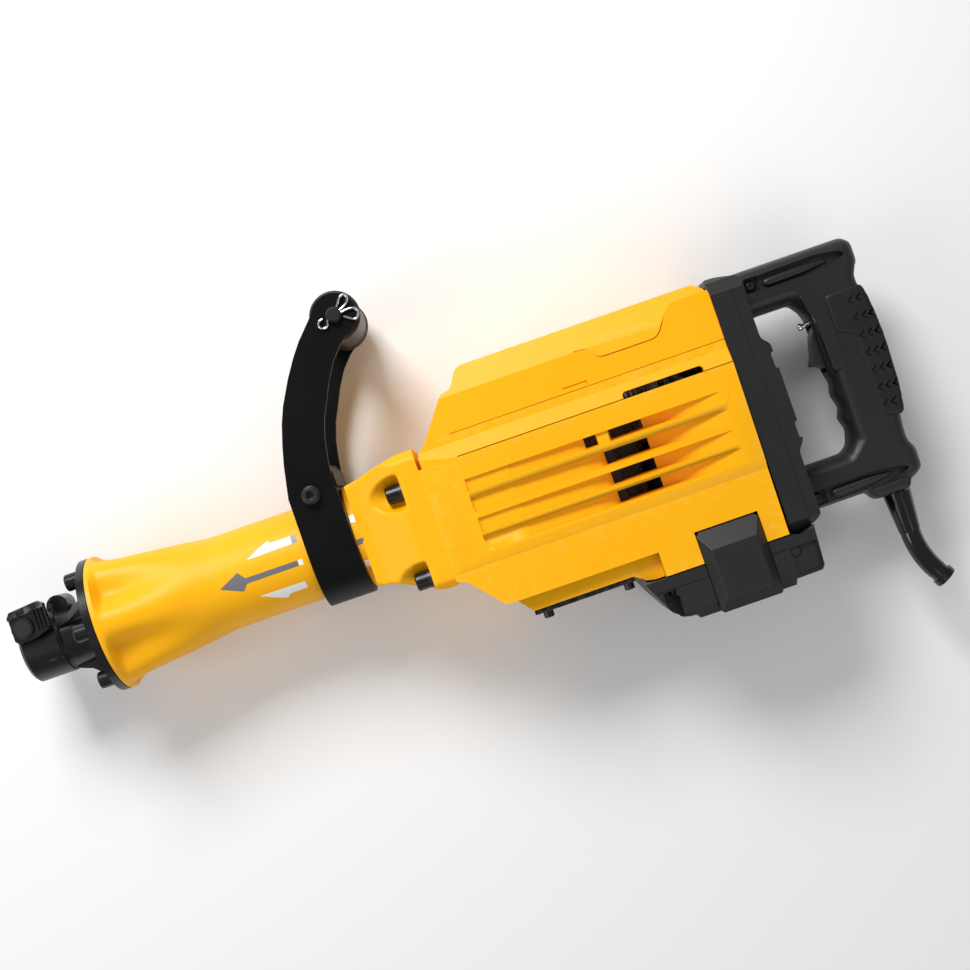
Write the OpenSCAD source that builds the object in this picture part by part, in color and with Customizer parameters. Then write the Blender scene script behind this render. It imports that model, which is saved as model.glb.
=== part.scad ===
// Electric demolition hammer with a 30 mm hexagon tool socket.
// X runs along the barrel from the tool socket to the rear handle, Y towards the side handle
// and Z out of the near flank. The origin is on the barrel axis, at the socket's mouth.

/* [Tool holder] */
// Width across the flats of the tool socket
socket_flats = 30.6; // [30.3:0.1:31]
// Radius of the tool holder's head
holder_r = 27; // [26:0.5:28]
// Radius of the flange that closes the barrel's front
flange_r = 54.5; // [54:0.5:57]
// Radius of the circle that the front screws stand on
front_screw_circle_r = 46.5; // [46:0.5:47]

/* [Barrel] */
// Radius of the plain tube that the side handle clamps on
barrel_r = 38; // [37.5:0.5:39]
// Plane where the barrel casting meets the main housing
case_x = 342; // [341:0.5:343]

/* [Housing] */
// Half of the main housing's width
body_half = 58; // [57:0.5:60]
// Height of the joint between the main housing and the gear cover
gear_cover_y = 33; // [33:0.5:33.5]
// Height of the joint between the gear cover and the top cover
top_cover_y = 52; // [52:0.5:53]
// Half of the rear handle's thickness
handle_half = 20; // [19:0.5:22]

/* [Percussion] */
// Radius of the cylinder that the piston and the striker run in
cylinder_bore_r = 30; // [29.5:0.5:30]
// Offset of the crank pin from the crankshaft's axis
crank_throw = 14; // [12:0.5:14]
// Distance between the connecting rod's two eyes
rod_length = 100; // [98:1:102]

/* [Side handle] */
// Thickness of the steel strap
strap_t = 4.5; // [4:0.5:5]
// Radius of the turning grip between the arms
roller_r = 20; // [18:0.5:21]

/* [Fits] */
// Radial clearance of every shaft that turns or slides
running_gap = 0.05; // [0.03:0.01:0.08]

/* [Hidden] */
$fn = 96;

// Colours of the painted, cast, moulded and machined pieces
paint_yellow = "#ffc12e";
cast_black = "#1d1d1f";
moulded_grey = "#2b2c2e";
soft_black = "#18181a";
bright_steel = "#b9bcc0";
dark_steel = "#54575b";
copper = "#b0683a";

// Gear train: teeth, modules, pitch radii and the three parallel axes, which run along Y
crank_gear_teeth = 48;
idler_pinion_teeth = 18;
idler_gear_teeth = 60;
motor_pinion_teeth = 12;
slow_module = 2;
fast_module = 1.5;
crank_gear_r = slow_module * crank_gear_teeth / 2;
idler_pinion_r = slow_module * idler_pinion_teeth / 2;
idler_gear_r = fast_module * idler_gear_teeth / 2;
motor_pinion_r = fast_module * motor_pinion_teeth / 2;
crank_x = 431;
idler_x = crank_x + crank_gear_r + idler_pinion_r;
motor_x = idler_x + idler_gear_r + motor_pinion_r;

// Heights of the gear planes and of the decks that hold the bearings
deck_bottom_y = 21;
fast_gear_y = [34.5, 39.5];
slow_gear_y = [41.5, 49.5];
upper_plate_y = 50;

// Shafts
crank_journal_r = 12.5;
crank_top_r = 8.5;
crank_pin_r = 9;
idler_shaft_r = 6;
motor_shaft_r = 7.5;
motor_tail_r = 5;

// Outer radii of the ball bearings
crank_bearing_r = 26;
crank_top_bearing_r = 17.5;
idler_bearing_r = 13;
motor_bearing_r = 16;
motor_tail_bearing_r = 13;

// Percussion line, along X
sleeve_r = cylinder_bore_r + 4;
spigot_r = cylinder_bore_r + 2;
sleeve_front_x = 152;
sleeve_rear_x = case_x + 10;
crank_pin_x = crank_x - crank_throw;
wrist_x = crank_pin_x - rod_length;
nose_r = 15;

// Front joint of the barrel
gasket_x = 68;
gasket_t = 0.8;
barrel_front_x = gasket_x + gasket_t;
front_screw_r = 4;
front_screw_end_x = 84;

// Bolts between the barrel casting and the housing, as [y, z] for the near flank
case_bolt_places = [[22, 46], [-48, 46]];
case_bolt_r = 4;
case_bolt_seat_x = 325;
case_bolt_end_x = 356;

// Bolts of the bottom plate
bottom_bolt_x = [401, 467];
bottom_bolt_z = 34;
bottom_bolt_r = 2.5;
bottom_y = -98;

// Screws that hold the tail cover
tail_screw_x = 496.5;
tail_screw_z = 44;
tail_screw_r = 2.5;

// Brush covers, on both flanks of the motor's lower end
brush_cover_x = [526, 576];
brush_cover_y = [-146, -81];
brush_cover_z = [52, 63.5];
brush_y = -97;
commutator_r = 17;

// Tool retainer
retainer_x = 10;
retainer_y = 18;
retainer_r = 6.5;

// Screws of the rear plate, as [y, z] for the near flank
rear_screw_places = [[24, 44], [-32, 44]];

// Rear handle, from its top front corner round the grip's back and then its inner edge
handle_outline = [
    [622, 100], [717, 100], [724, 94], [724, 77], [718, 71], [717, 62], [720, 48], [722, 25],
    [722, 0], [720.5, -28], [718, -45], [716, -60], [716, -70], [720, -76], [720, -93],
    [713, -99], [709, -99], [706, -107], [677, -107], [672, -99], [622, -99], [622, -63],
    [664, -63], [671, -58], [674.5, -46], [671, -36], [675, -28], [671.5, -16], [674.5, -7],
    [672, 2], [672, 50], [663, 62], [622, 62]
];
trigger_pivot = [678, 36];
lock_y = 42.75;
guard_x = 696;
guard_bend_r = 70;
guard_turn = 31;
guard_bend_y = -140;
cord_bore_r = 5;
handle_screw_places = [[636, 86], [632, -90], [706, 54], [711, -32]];
handle_screw_r = 2;
handle_screw_seat_z = handle_half - 7;

// Side handle
strap_inner_r = barrel_r + 3;
strap_outer_r = strap_inner_r + strap_t;
strap_x = [240, 277.6];
clamp_screw_place = [257.5, barrel_r + 4.4];
clamp_screw_r = 4;
roller_place = [319.5, 167.5];
roller_pin_r = 6;
split_pin_z = strap_outer_r + 3.2;

// ---- Shared shapes ----

module along_x(x0, x1, r, y = 0, z = 0)
    translate([x0, y, z]) rotate([0, 90, 0]) cylinder(h = x1 - x0, r = r);

module along_y(y0, y1, r, x = 0, z = 0)
    translate([x, y0, z]) rotate([-90, 0, 0]) cylinder(h = y1 - y0, r = r);

module along_z(z0, z1, r, x = 0, y = 0)
    translate([x, y, z0]) cylinder(h = z1 - z0, r = r);

module block(x0, x1, y0, y1, z0, z1)
    translate([x0, y0, z0]) cube([x1 - x0, y1 - y0, z1 - z0]);

// A flat outline in X and Y, given its thickness along Z
module slab(outline, z0, z1)
    translate([0, 0, z0]) linear_extrude(z1 - z0) polygon(outline);

// An outline in Y and Z, drawn out along X
module section_x(outline, x0, x1)
    translate([x0, 0, 0]) rotate([90, 0, 90]) linear_extrude(x1 - x0) polygon(outline);

// An outline in X and Z, drawn out along Y
module plan_y(outline, y0, y1)
    translate([0, y1, 0]) rotate([90, 0, 0]) linear_extrude(y1 - y0) polygon(outline);

// A turned shape round the barrel axis, from points [x, radius]
module turned_x(outline)
    rotate([0, 90, 0]) rotate_extrude() polygon([for (p = outline) [p[1], p[0]]]);

// A turned shape round an axis along Y, from points [y, radius]
module turned_y(outline, x)
    translate([x, 0, 0]) rotate([-90, 0, 0])
        rotate_extrude() polygon([for (p = outline) [p[1], p[0]]]);

module both_flanks() {
    children();
    mirror([0, 0, 1]) children();
}

// The two halves of a mirrored outline: points [a, b] become a closed shape in a and +-b
function mirrored(edge) = concat(
    edge, [for (i = [len(edge) - 1:-1:0]) [edge[i][0], -edge[i][1]]]);

module bearing(y0, y1, r, bore_r, x) {
    race = (r - bore_r) / 3;
    dish = (y1 - y0) / 8;
    turned_y([
        [y0, bore_r], [y0, bore_r + race], [y0 + dish, bore_r + race],
        [y0 + dish, r - race], [y0, r - race], [y0, r], [y1, r], [y1, r - race],
        [y1 - dish, r - race], [y1 - dish, bore_r + race], [y1, bore_r + race], [y1, bore_r]
    ], x);
}

// Straight-sided gear teeth: four points for each tooth
function tooth(i, n, m, phase) =
    let (
        root_r = m * n / 2 - 1.15 * m,
        tip_r = m * n / 2 + 0.85 * m,
        root_half = 0.98 * m * 180 / (PI * root_r),
        tip_half = 0.3 * m * 180 / (PI * tip_r),
        a = phase + i * 360 / n
    ) [
        root_r * [cos(a - root_half), sin(a - root_half)],
        tip_r * [cos(a - tip_half), sin(a - tip_half)],
        tip_r * [cos(a + tip_half), sin(a + tip_half)],
        root_r * [cos(a + root_half), sin(a + root_half)]
    ];

module gear_blank(y0, y1, n, m, x, phase)
    translate([x, y0, 0]) rotate([-90, 0, 0])
        linear_extrude(y1 - y0) polygon([for (i = [0:n - 1]) each tooth(i, n, m, phase)]);

// ---- Tool holder and barrel ----

module front_screw_holes(extra = 0.1)
    for (turn = [0:60:300]) rotate([turn, 0, 0])
        along_x(gasket_x - 7, front_screw_end_x + 1, front_screw_r + extra, 0, front_screw_circle_r);

module flute_cutters() {
    cutter_r = 30;
    floor_r = 46.5;
    for (turn = [30:60:330]) rotate([turn, 0, 0])
        translate([75, 0, floor_r + cutter_r]) rotate([0, 94.5, 0]) cylinder(h = 82, r = cutter_r);
}

module flare() {
    top_edge = [[284, 41], [292, 41.5], [310, 46.5], [328, 50.5], [case_x, 50.5]];
    bottom_edge = [[case_x, -60], [330, -60], [311, -50], [296, -43], [284, -41]];
    intersection() {
        slab(concat(top_edge, bottom_edge), -body_half, body_half);
        plan_y(mirrored([[284, 41], [292, 42], [322, 55.5], [case_x, 55.5]]), -61, 52);
        section_x(mirrored([[-60, 50], [-54, 55.5], [44, 55.5], [50.5, 48]]), 283, case_x);
    }
}

module cylinder_case() {
    color(paint_yellow) difference() {
        union() {
            turned_x([
                [barrel_front_x, 0], [barrel_front_x, flange_r], [79, 53], [88, 51], [100, 49.5],
                [120, 46.5], [130, 44.5], [140, 42], [150, 40], [160, 38.5], [168, barrel_r],
                [278, barrel_r], [278, 41.5], [286, 41.5], [286, 0]
            ]);
            flare();
        }
        flute_cutters();
        along_x(barrel_front_x - 1, case_x + 1, sleeve_r + running_gap);
        front_screw_holes();
        both_flanks() for (p = case_bolt_places) {
            along_x(case_bolt_seat_x - 40, case_bolt_seat_x, 9, p[0], p[1]);
            block(case_bolt_seat_x - 30, case_bolt_seat_x, p[0] - 9, p[0] + 9, p[1], body_half);
            along_x(case_bolt_seat_x - 1, case_x + 1, case_bolt_r + 0.1, p[0], p[1]);
        }
    }
}

module front_cover() {
    web = [[33, 20], [33, 26], [44, 30], [62.5, 47], [62.5, 20]];
    color(cast_black) difference() {
        union() {
            turned_x([
                [0, 0], [0, holder_r - 2.5], [2.5, holder_r], [31, holder_r],
                [31, holder_r - 1.5], [32.5, holder_r - 1.5], [34, 24.5], [52, 24],
                [59, 27], [62, 32], [62, flange_r], [gasket_x, flange_r], [gasket_x, 0]
            ]);
            along_z(-26.5, 26.5, 11, retainer_x, retainer_y);
            along_z(-12, 12, 8.5, 35, 26.5);
            for (turn = [60:120:300]) rotate([turn, 0, 0]) slab(web, -3.5, 3.5);
        }
        rotate([0, 90, 0]) translate([0, 0, -1])
            cylinder(h = 60, r = socket_flats / 2 / cos(30), $fn = 6);
        along_x(58, gasket_x + 1, nose_r + 0.35);
        along_z(-35, 35, retainer_r + running_gap, retainer_x, retainer_y);
        front_screw_holes();
    }
}

module front_gasket() {
    color(soft_black) difference() {
        along_x(gasket_x, barrel_front_x, flange_r - 0.8);
        along_x(gasket_x - 1, barrel_front_x + 1, 34.5);
        front_screw_holes(0.3);
    }
}

module front_cover_screws() {
    head_r = 6.8;
    color(cast_black) for (turn = [0:60:300]) rotate([turn, 0, 0])
        translate([0, 0, front_screw_circle_r]) difference() {
            union() {
                turned_x([[51, 0], [51, head_r - 1], [52, head_r], [62, head_r], [62, 0]]);
                along_x(61, front_screw_end_x, front_screw_r);
            }
            translate([50, 0, 0]) rotate([0, 90, 0]) cylinder(h = 6, r = 3.6, $fn = 6);
        }
}

// The cross pin turns its flat towards the shank to let the tool out
module retainer_pin() {
    color(dark_steel) difference() {
        along_z(-30, 34.5, retainer_r, retainer_x, retainer_y);
        block(retainer_x - 10, retainer_x - 2.6, retainer_y - 8, retainer_y + 8, -17.5, 17.5);
    }
}

module retainer_lever() {
    inner_z = 27.5;
    outer_z = 34.5;
    plate = [[1, 10], [1, 29], [4, 33], [27, 35], [31, 32], [31, 14], [28, 11], [18, 8], [4, 7]];
    color(cast_black) difference() {
        union() {
            slab(plate, inner_z, outer_z - 2.5);
            along_z(inner_z, outer_z, 8.5, retainer_x, retainer_y);
            for (x = [21:3:30]) block(x, x + 1.4, 13, 31, outer_z - 3, outer_z - 0.8);
            slab([[1, 27], [1, 29], [4, 33], [27, 35], [31, 32], [31, 29.6]], inner_z, outer_z);
        }
        along_z(inner_z - 1, outer_z + 1, retainer_r, retainer_x, retainer_y);
    }
}

module case_bolts() {
    head_r = 7;
    head_x = case_bolt_seat_x - 2.4;
    color(cast_black) both_flanks() for (p = case_bolt_places) translate([0, p[0], p[1]])
        difference() {
            union() {
                turned_x([
                    [head_x - 10.5, 0], [head_x - 10.5, head_r - 1], [head_x - 9.5, head_r],
                    [head_x, head_r], [head_x, 0]
                ]);
                along_x(head_x - 1, case_bolt_end_x, case_bolt_r);
            }
            translate([head_x - 12, 0, 0]) rotate([0, 90, 0]) cylinder(h = 7, r = 3.7, $fn = 6);
        }
}

module case_bolt_washers() {
    color(dark_steel) both_flanks() for (p = case_bolt_places) translate([0, p[0], p[1]])
        difference() {
            along_x(case_bolt_seat_x - 2.4, case_bolt_seat_x, 7.3);
            along_x(case_bolt_seat_x - 3, case_bolt_seat_x + 1, case_bolt_r + 0.2);
            block(case_bolt_seat_x - 3, case_bolt_seat_x + 1, 3, 9, -0.7, 0.7);
        }
}

// ---- Main housing and its covers ----

// Plan of the housing, in X and Z: it widens behind the barrel's flange
module housing_plan(half, y0, y1)
    plan_y(mirrored([
        [case_x, 0], [case_x, half - 2.5], [352, half - 1.5], [372, half], [596, half], [596, 0]
    ]), y0, y1);

module case_bolt_holes()
    both_flanks() for (p = case_bolt_places)
        along_x(case_x - 1, case_bolt_end_x + 1, case_bolt_r + 0.1, p[0], p[1]);

// Vents in the flanks: a shallow recess for each row, cut through over the air path
module louvres() {
    rows = [[5, 15], [-12, 0], [-28, -16], [-43, -31.5]];
    face_z = body_half - 3;
    for (row = rows) {
        block(373, 580, row[0], row[1], face_z, body_half + 1);
        block(489, 528, row[0], row[1], 50, body_half);
        block(468, 481, row[0], row[1], 50, body_half);
    }
}

module brush_cover_recess(extra)
    both_flanks() block(
        brush_cover_x[0] - extra, brush_cover_x[1] + extra,
        brush_cover_y[0] - 1, brush_cover_y[1] + extra, brush_cover_z[0], body_half + 8);

module main_housing() {
    outer = [
        [case_x, gear_cover_y], [case_x, -57], [350, -60], [372, -85], [380, -86],
        [495, -86], [495, -105.5], [594, -105.5], [596, gear_cover_y]
    ];
    sump = [
        [380, -85], [390, -97], [391, bottom_y], [472, bottom_y], [480, -104],
        [487, -105.5], [496, -105.5], [496, -85]
    ];
    inner = [
        [case_x + 5, gear_cover_y + 1], [case_x + 5, -52], [354, -56], [376, -80], [500, -80],
        [500, -107], [591, -107], [591, gear_cover_y + 1]
    ];
    sump_inner = [[384, -79], [396, -93], [484, -93], [489, -79]];
    flank = mirrored([
        [gear_cover_y, body_half], [-45, body_half], [-52, body_half - 2.5],
        [-106, body_half - 2.5]
    ]);
    color(paint_yellow) difference() {
        union() {
            intersection() {
                slab(outer, -body_half, body_half);
                section_x(flank, case_x, 596);
                housing_plan(body_half, -106, gear_cover_y);
            }
            slab(sump, -46, 46);
        }
        slab(inner, -(body_half - 5), body_half - 5);
        slab(sump_inner, -41, 41);
        block(408, 460, bottom_y - 1, -92, -27, 27);
        both_flanks() louvres();
        brush_cover_recess(0.5);
        along_x(case_x - 1, case_x + 6, sleeve_r + running_gap);
        case_bolt_holes();
        block(590, 597, -40, 15, -30, 30);
        for (x = bottom_bolt_x, z = [-bottom_bolt_z, bottom_bolt_z])
            along_y(bottom_y - 1, -92, bottom_bolt_r + 0.1, x, z);
        tail_screw_holes();
    }
}

// Inner casting that holds the cylinder's rear end and the lower bearings
module crank_case() {
    front_x = case_x + 6;
    outer = [[front_x, 22], [front_x, -50], [355, -54], [378, -79], [488, -79], [488, 22]];
    inner = [
        [358, deck_bottom_y], [358, -47], [382, -74], [483, -74], [483, deck_bottom_y]
    ];
    color("#a8abad") difference() {
        union() {
            slab(outer, -47, 47);
            slab([[385, -78], [397, -92.5], [483, -92.5], [487, -78]], -40, 40);
            block(front_x, 590, deck_bottom_y, gear_cover_y, -52, 52);
            block(front_x, 358, -52, gear_cover_y, -52, 52);
        }
        slab(inner, -42, 42);
        slab([[391, -73], [404, -93], [464, -93], [480, -73]], -35, 35);
        along_x(front_x - 1, 359, spigot_r + 0.02);
        along_x(350, 376, spigot_r + 0.02);
        along_y(20, 34, crank_bearing_r, crank_x);
        along_y(20, 34, idler_bearing_r, idler_x);
        along_y(20, 34, motor_bearing_r, motor_x);
        case_bolt_holes();
    }
}

module gear_cover() {
    outer = [
        [345, gear_cover_y], [345, 42], [348, 47], [352.5, 50], [354, top_cover_y],
        [596, top_cover_y], [596, gear_cover_y]
    ];
    flank = mirrored([
        [gear_cover_y, body_half], [45, body_half - 3.5], [top_cover_y, body_half - 3.5]
    ]);
    color(paint_yellow) difference() {
        union() {
            intersection() {
                slab(outer, -body_half, body_half);
                section_x(flank, case_x, 596);
                housing_plan(body_half, gear_cover_y, top_cover_y);
            }
            along_y(top_cover_y - 1, 64, crank_top_bearing_r + 5, crank_x);
            along_y(top_cover_y - 1, 62, idler_bearing_r + 5, idler_x);
        }
        block(378, 592, gear_cover_y - 1, upper_plate_y, -51, 51);
        along_x(case_x, case_x + 6, sleeve_r + running_gap);
        along_y(upper_plate_y - 1, 62, crank_top_bearing_r, crank_x);
        along_y(upper_plate_y - 1, 60, idler_bearing_r, idler_x);
        both_flanks() slab([
            [508, gear_cover_y - 1], [508, 36.5], [510, 38.5], [571, 38.5], [573, 36.5],
            [573, gear_cover_y - 1]
        ], 50, body_half + 1);
    }
}

module top_cover() {
    half = body_half - 3.5;
    outer = [
        [354, top_cover_y], [377, 83], [385, 84], [393, 97.5], [398, 100], [587, 100],
        [594, 95], [596, 90], [596, top_cover_y]
    ];
    inner = [
        [358, top_cover_y - 1], [379, 79.5], [387, 80.5], [395, 94], [399, 96.5], [585, 96.5],
        [591, 92], [592, 89], [592, top_cover_y - 1]
    ];
    flank = [[top_cover_y, half], [80, half], [81, half - 2.5], [97, half - 8], [100, half - 12]];
    flank_inner = [[top_cover_y - 1, half - 3.5], [79, half - 3.5], [94, half - 11], [96.5, 38]];
    color(paint_yellow) difference() {
        intersection() {
            slab(outer, -half, half);
            section_x(mirrored(flank), 353, 597);
            housing_plan(half, top_cover_y, 100);
        }
        intersection() {
            slab(inner, -half, half);
            section_x(mirrored(flank_inner), 353, 597);
        }
    }
}

module bottom_plate() {
    color(cast_black) difference() {
        block(391, 472, bottom_y - 4, bottom_y - 1, -43, 43);
        for (x = bottom_bolt_x, z = [-bottom_bolt_z, bottom_bolt_z])
            along_y(bottom_y - 5, bottom_y, bottom_bolt_r + 0.1, x, z);
    }
}

module bottom_gasket() {
    color(soft_black) difference() {
        block(392, 471, bottom_y - 1, bottom_y, -42, 42);
        block(408, 460, bottom_y - 2, bottom_y + 1, -27, 27);
        for (x = bottom_bolt_x, z = [-bottom_bolt_z, bottom_bolt_z])
            along_y(bottom_y - 2, bottom_y + 1, bottom_bolt_r + 0.1, x, z);
    }
}

module bottom_plate_bolts() {
    head_y = bottom_y - 4;
    color(cast_black) for (x = bottom_bolt_x, z = [-bottom_bolt_z, bottom_bolt_z])
        translate([0, 0, z]) difference() {
            union() {
                turned_y([
                    [head_y - 5.5, 0], [head_y - 5.5, 3.4], [head_y - 4.8, 4.1],
                    [head_y, 4.1], [head_y, 0]
                ], x);
                along_y(head_y - 1, bottom_y + 4.5, bottom_bolt_r, x);
            }
            translate([x, head_y - 6, 0]) rotate([-90, 0, 0]) cylinder(h = 3.5, r = 2.3, $fn = 6);
        }
}

// ---- Motor end ----

module tail_screw_holes()
    both_flanks() along_y(-118, -99.9, tail_screw_r + 0.1, tail_screw_x, tail_screw_z);

module tail_cover() {
    half = body_half - 3;
    outer = [
        [476, -101], [480, -105.5], [487, -106.6], [597, -106.6], [602, -108.5], [614, -104.5],
        [612, -136], [610, -139.5], [589, -140], [588, -144.5], [510, -144.5], [509, -141],
        [503, -140.5], [497, -139], [492, -135], [485, -122], [479, -110]
    ];
    inner = [
        [503, -105], [503, -130], [507, -136], [513, -140], [586, -140], [588, -135], [607, -134],
        [608, -112], [592, -112], [592, -105]
    ];
    section = mirrored([[-101, half - 3], [-106.6, half], [-136, half], [-144.5, half - 6]]);
    color(moulded_grey) difference() {
        union() {
            difference() {
                intersection() {
                    slab(outer, -half, half);
                    section_x(section, 475, 615);
                }
                slab(inner, -(half - 5), half - 5);
            }
            along_y(-142, -115, motor_tail_bearing_r + 5, motor_x);
        }
        along_y(-126, -114, motor_tail_bearing_r, motor_x);
        along_y(-134, -114, motor_tail_r + 1, motor_x);
        brush_cover_recess(0.5);
        both_flanks() block(488, 499.7, -138, -117, 38, half + 1);
        tail_screw_holes();
    }
}

module tail_cover_screws() {
    color(dark_steel) both_flanks() translate([tail_screw_x, 0, tail_screw_z]) difference() {
        union() {
            along_y(-121.5, -117, 3.2);
            along_y(-118, -100, tail_screw_r);
        }
        block(-4, 4, -122, -120.3, -0.5, 0.5);
    }
}

module brush_cover() {
    x0 = brush_cover_x[0];
    x1 = brush_cover_x[1];
    y0 = brush_cover_y[0];
    y1 = brush_cover_y[1];
    z0 = brush_cover_z[0];
    z1 = brush_cover_z[1];
    face = [
        [x0, y1 - 3], [x0 + 3, y1], [x1 - 3, y1], [x1, y1 - 3], [x1, y0 + 2], [x1 - 2, y0],
        [x0 + 2, y0], [x0, y0 + 2]
    ];
    difference() {
        intersection() {
            slab(face, z0, z1);
            section_x([[y1, z0], [y1, z0 + 2], [y1 - 16, z1], [y0 + 10, z1], [y0, z0 + 4], [y0, z0]],
                x0, x1);
            plan_y([[x0, z0], [x0, z0 + 4], [x0 + 7, z1], [x1 - 7, z1], [x1, z0 + 4], [x1, z0]],
                y0, y1);
        }
        block(x0 + 9, x1 - 9, y0 + 14, y1 - 18, z0 - 1, z0 + 6);
    }
}

module brush_cover_near() color(moulded_grey) brush_cover();

module brush_cover_far() color(moulded_grey) mirror([0, 0, 1]) brush_cover();

module stator_core() {
    color(dark_steel) difference() {
        intersection() {
            along_y(-72, -12, 46, motor_x);
            block(motor_x - 38.8, motor_x + 38.8, -73, -11, -47, 47);
        }
        along_y(-73, -11, 27, motor_x);
        for (side = [-1, 1]) block(
            motor_x + side * 31 - 5, motor_x + side * 31 + 5, -73, -11, -18, 18);
    }
}

module stator_windings() {
    color(copper) for (y = [[-80, -72], [-12, -4]]) difference() {
        along_y(y[0], y[1], 37, motor_x);
        along_y(y[0] - 1, y[1] + 1, 28.5, motor_x);
        block(motor_x - 40, motor_x + 40, y[0] - 1, y[1] + 1, -5, 5);
    }
}

module brush_holders() {
    color("#7d6a3a") both_flanks() difference() {
        block(motor_x - 8, motor_x + 8, brush_y - 6, brush_y + 6, 20, 49.5);
        block(motor_x - 5.5, motor_x + 5.5, brush_y - 3.5, brush_y + 3.5, 19, 51);
    }
}

module carbon_brushes() {
    color("#3a3a3c") both_flanks() difference() {
        block(motor_x - 5.4, motor_x + 5.4, brush_y - 3.4, brush_y + 3.4, 14, 40);
        along_y(brush_y - 5, brush_y + 5, commutator_r + 0.15, motor_x);
    }
}

// One shaft from the tail bearing to the pinion, whose teeth are cut on its end
module armature_shaft() {
    color(bright_steel) union() {
        turned_y([
            [-130, 0], [-130, motor_tail_r], [-112, motor_tail_r], [-112, motor_shaft_r],
            [fast_gear_y[0], motor_shaft_r], [fast_gear_y[0], 0]
        ], motor_x);
        gear_blank(fast_gear_y[0] - 0.5, fast_gear_y[1], motor_pinion_teeth, fast_module,
            motor_x, 180 / motor_pinion_teeth);
    }
}

module armature_core() {
    slots = 12;
    color(dark_steel) difference() {
        along_y(-70, -14, 26, motor_x);
        along_y(-71, -13, motor_shaft_r, motor_x);
        for (i = [0:slots - 1]) translate([motor_x, 0, 0]) rotate([0, i * 360 / slots, 0])
            block(21, 27, -71, -13, -1.5, 1.5);
    }
}

module commutator() {
    bars = 24;
    color(copper) difference() {
        along_y(-107, -87, commutator_r, motor_x);
        along_y(-108, -86, motor_shaft_r, motor_x);
        for (i = [0:bars - 1]) translate([motor_x, 0, 0]) rotate([0, i * 360 / bars, 0])
            block(commutator_r - 1, commutator_r + 1, -108, -86, -0.3, 0.3);
    }
}

module cooling_fan() {
    blades = 11;
    color("#d8d2c0") difference() {
        union() {
            along_y(0, 17, 13, motor_x);
            along_y(0, 2.5, 37, motor_x);
            for (i = [0:blades - 1]) translate([motor_x, 0, 0]) rotate([0, i * 360 / blades, 0])
                block(12, 36, 2, 14, -1, 1);
        }
        along_y(-1, 18, motor_shaft_r, motor_x);
    }
}

// ---- Gear train and crank ----

module ball_bearings() {
    crank_bore_r = crank_journal_r + running_gap;
    crank_top_bore_r = crank_top_r + running_gap;
    idler_bore_r = idler_shaft_r + running_gap;
    top_y = upper_plate_y + 0.5;
    color(bright_steel) {
        bearing(deck_bottom_y, gear_cover_y, crank_bearing_r, crank_bore_r, crank_x);
        bearing(top_y, 62, crank_top_bearing_r, crank_top_bore_r, crank_x);
        bearing(deck_bottom_y, deck_bottom_y + 10, idler_bearing_r, idler_bore_r, idler_x);
        bearing(top_y, 60, idler_bearing_r, idler_bore_r, idler_x);
        bearing(deck_bottom_y, gear_cover_y, motor_bearing_r, motor_shaft_r + running_gap, motor_x);
        bearing(-126, -115, motor_tail_bearing_r, motor_tail_r + running_gap, motor_x);
    }
}

module idler_shaft() {
    color(bright_steel) union() {
        along_y(deck_bottom_y, 59.5, idler_shaft_r, idler_x);
        gear_blank(slow_gear_y[0], slow_gear_y[1], idler_pinion_teeth, slow_module, idler_x,
            180 / idler_pinion_teeth);
    }
}

module idler_gear() {
    color(dark_steel) difference() {
        gear_blank(fast_gear_y[0], fast_gear_y[1], idler_gear_teeth, fast_module, idler_x, 0);
        along_y(fast_gear_y[0] - 1, fast_gear_y[1] + 1, idler_shaft_r, idler_x);
        for (turn = [0:60:300]) translate([idler_x, 0, 0]) rotate([0, turn, 0])
            along_y(fast_gear_y[0] - 1, fast_gear_y[1] + 1, 8, 27);
    }
}

module crank_gear() {
    color(dark_steel) difference() {
        gear_blank(slow_gear_y[0], slow_gear_y[1], crank_gear_teeth, slow_module, crank_x, 0);
        along_y(slow_gear_y[0] - 1, slow_gear_y[1] + 1, crank_journal_r, crank_x);
        for (turn = [0:60:300]) translate([crank_x, 0, 0]) rotate([0, turn, 0])
            along_y(slow_gear_y[0] - 1, slow_gear_y[1] + 1, 8, 30);
    }
}

module crankshaft() {
    disc_y = [9, 19];
    color(bright_steel) difference() {
        union() {
            turned_y([
                [disc_y[0], 0], [disc_y[0], 28], [disc_y[0] + 1, 29], [disc_y[1] - 1, 29],
                [disc_y[1], 28], [disc_y[1], 16], [deck_bottom_y - 0.3, 16],
                [deck_bottom_y - 0.3, crank_journal_r], [upper_plate_y, crank_journal_r],
                [upper_plate_y, crank_top_r], [61.5, crank_top_r], [61.5, 0]
            ], crank_x);
            along_y(-10, disc_y[0] + 1, crank_pin_r, crank_pin_x);
        }
        along_y(disc_y[0] - 1, disc_y[1] + 1, 5, crank_x + 17);
        along_y(-11, 4, 3, crank_pin_x);
    }
}

module con_rod() {
    half_y = 7;
    small_eye_r = 9;
    web = 6;
    color(dark_steel) difference() {
        union() {
            along_y(-half_y, half_y, 17, crank_pin_x);
            along_y(-half_y, half_y, small_eye_r, wrist_x);
            block(wrist_x, crank_pin_x, -half_y + 1, half_y - 1, -web, web);
        }
        along_y(-half_y - 1, half_y + 1, crank_pin_r + running_gap, crank_pin_x);
        along_y(-half_y - 1, half_y + 1, 5.5, wrist_x);
        both_flanks() block(wrist_x + 14, crank_pin_x - 22, 3, half_y + 1, -4, 4);
        mirror([0, 1, 0]) block(wrist_x + 14, crank_pin_x - 22, 3, half_y + 1, -4, 4);
    }
}

// ---- Percussion line ----

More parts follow.
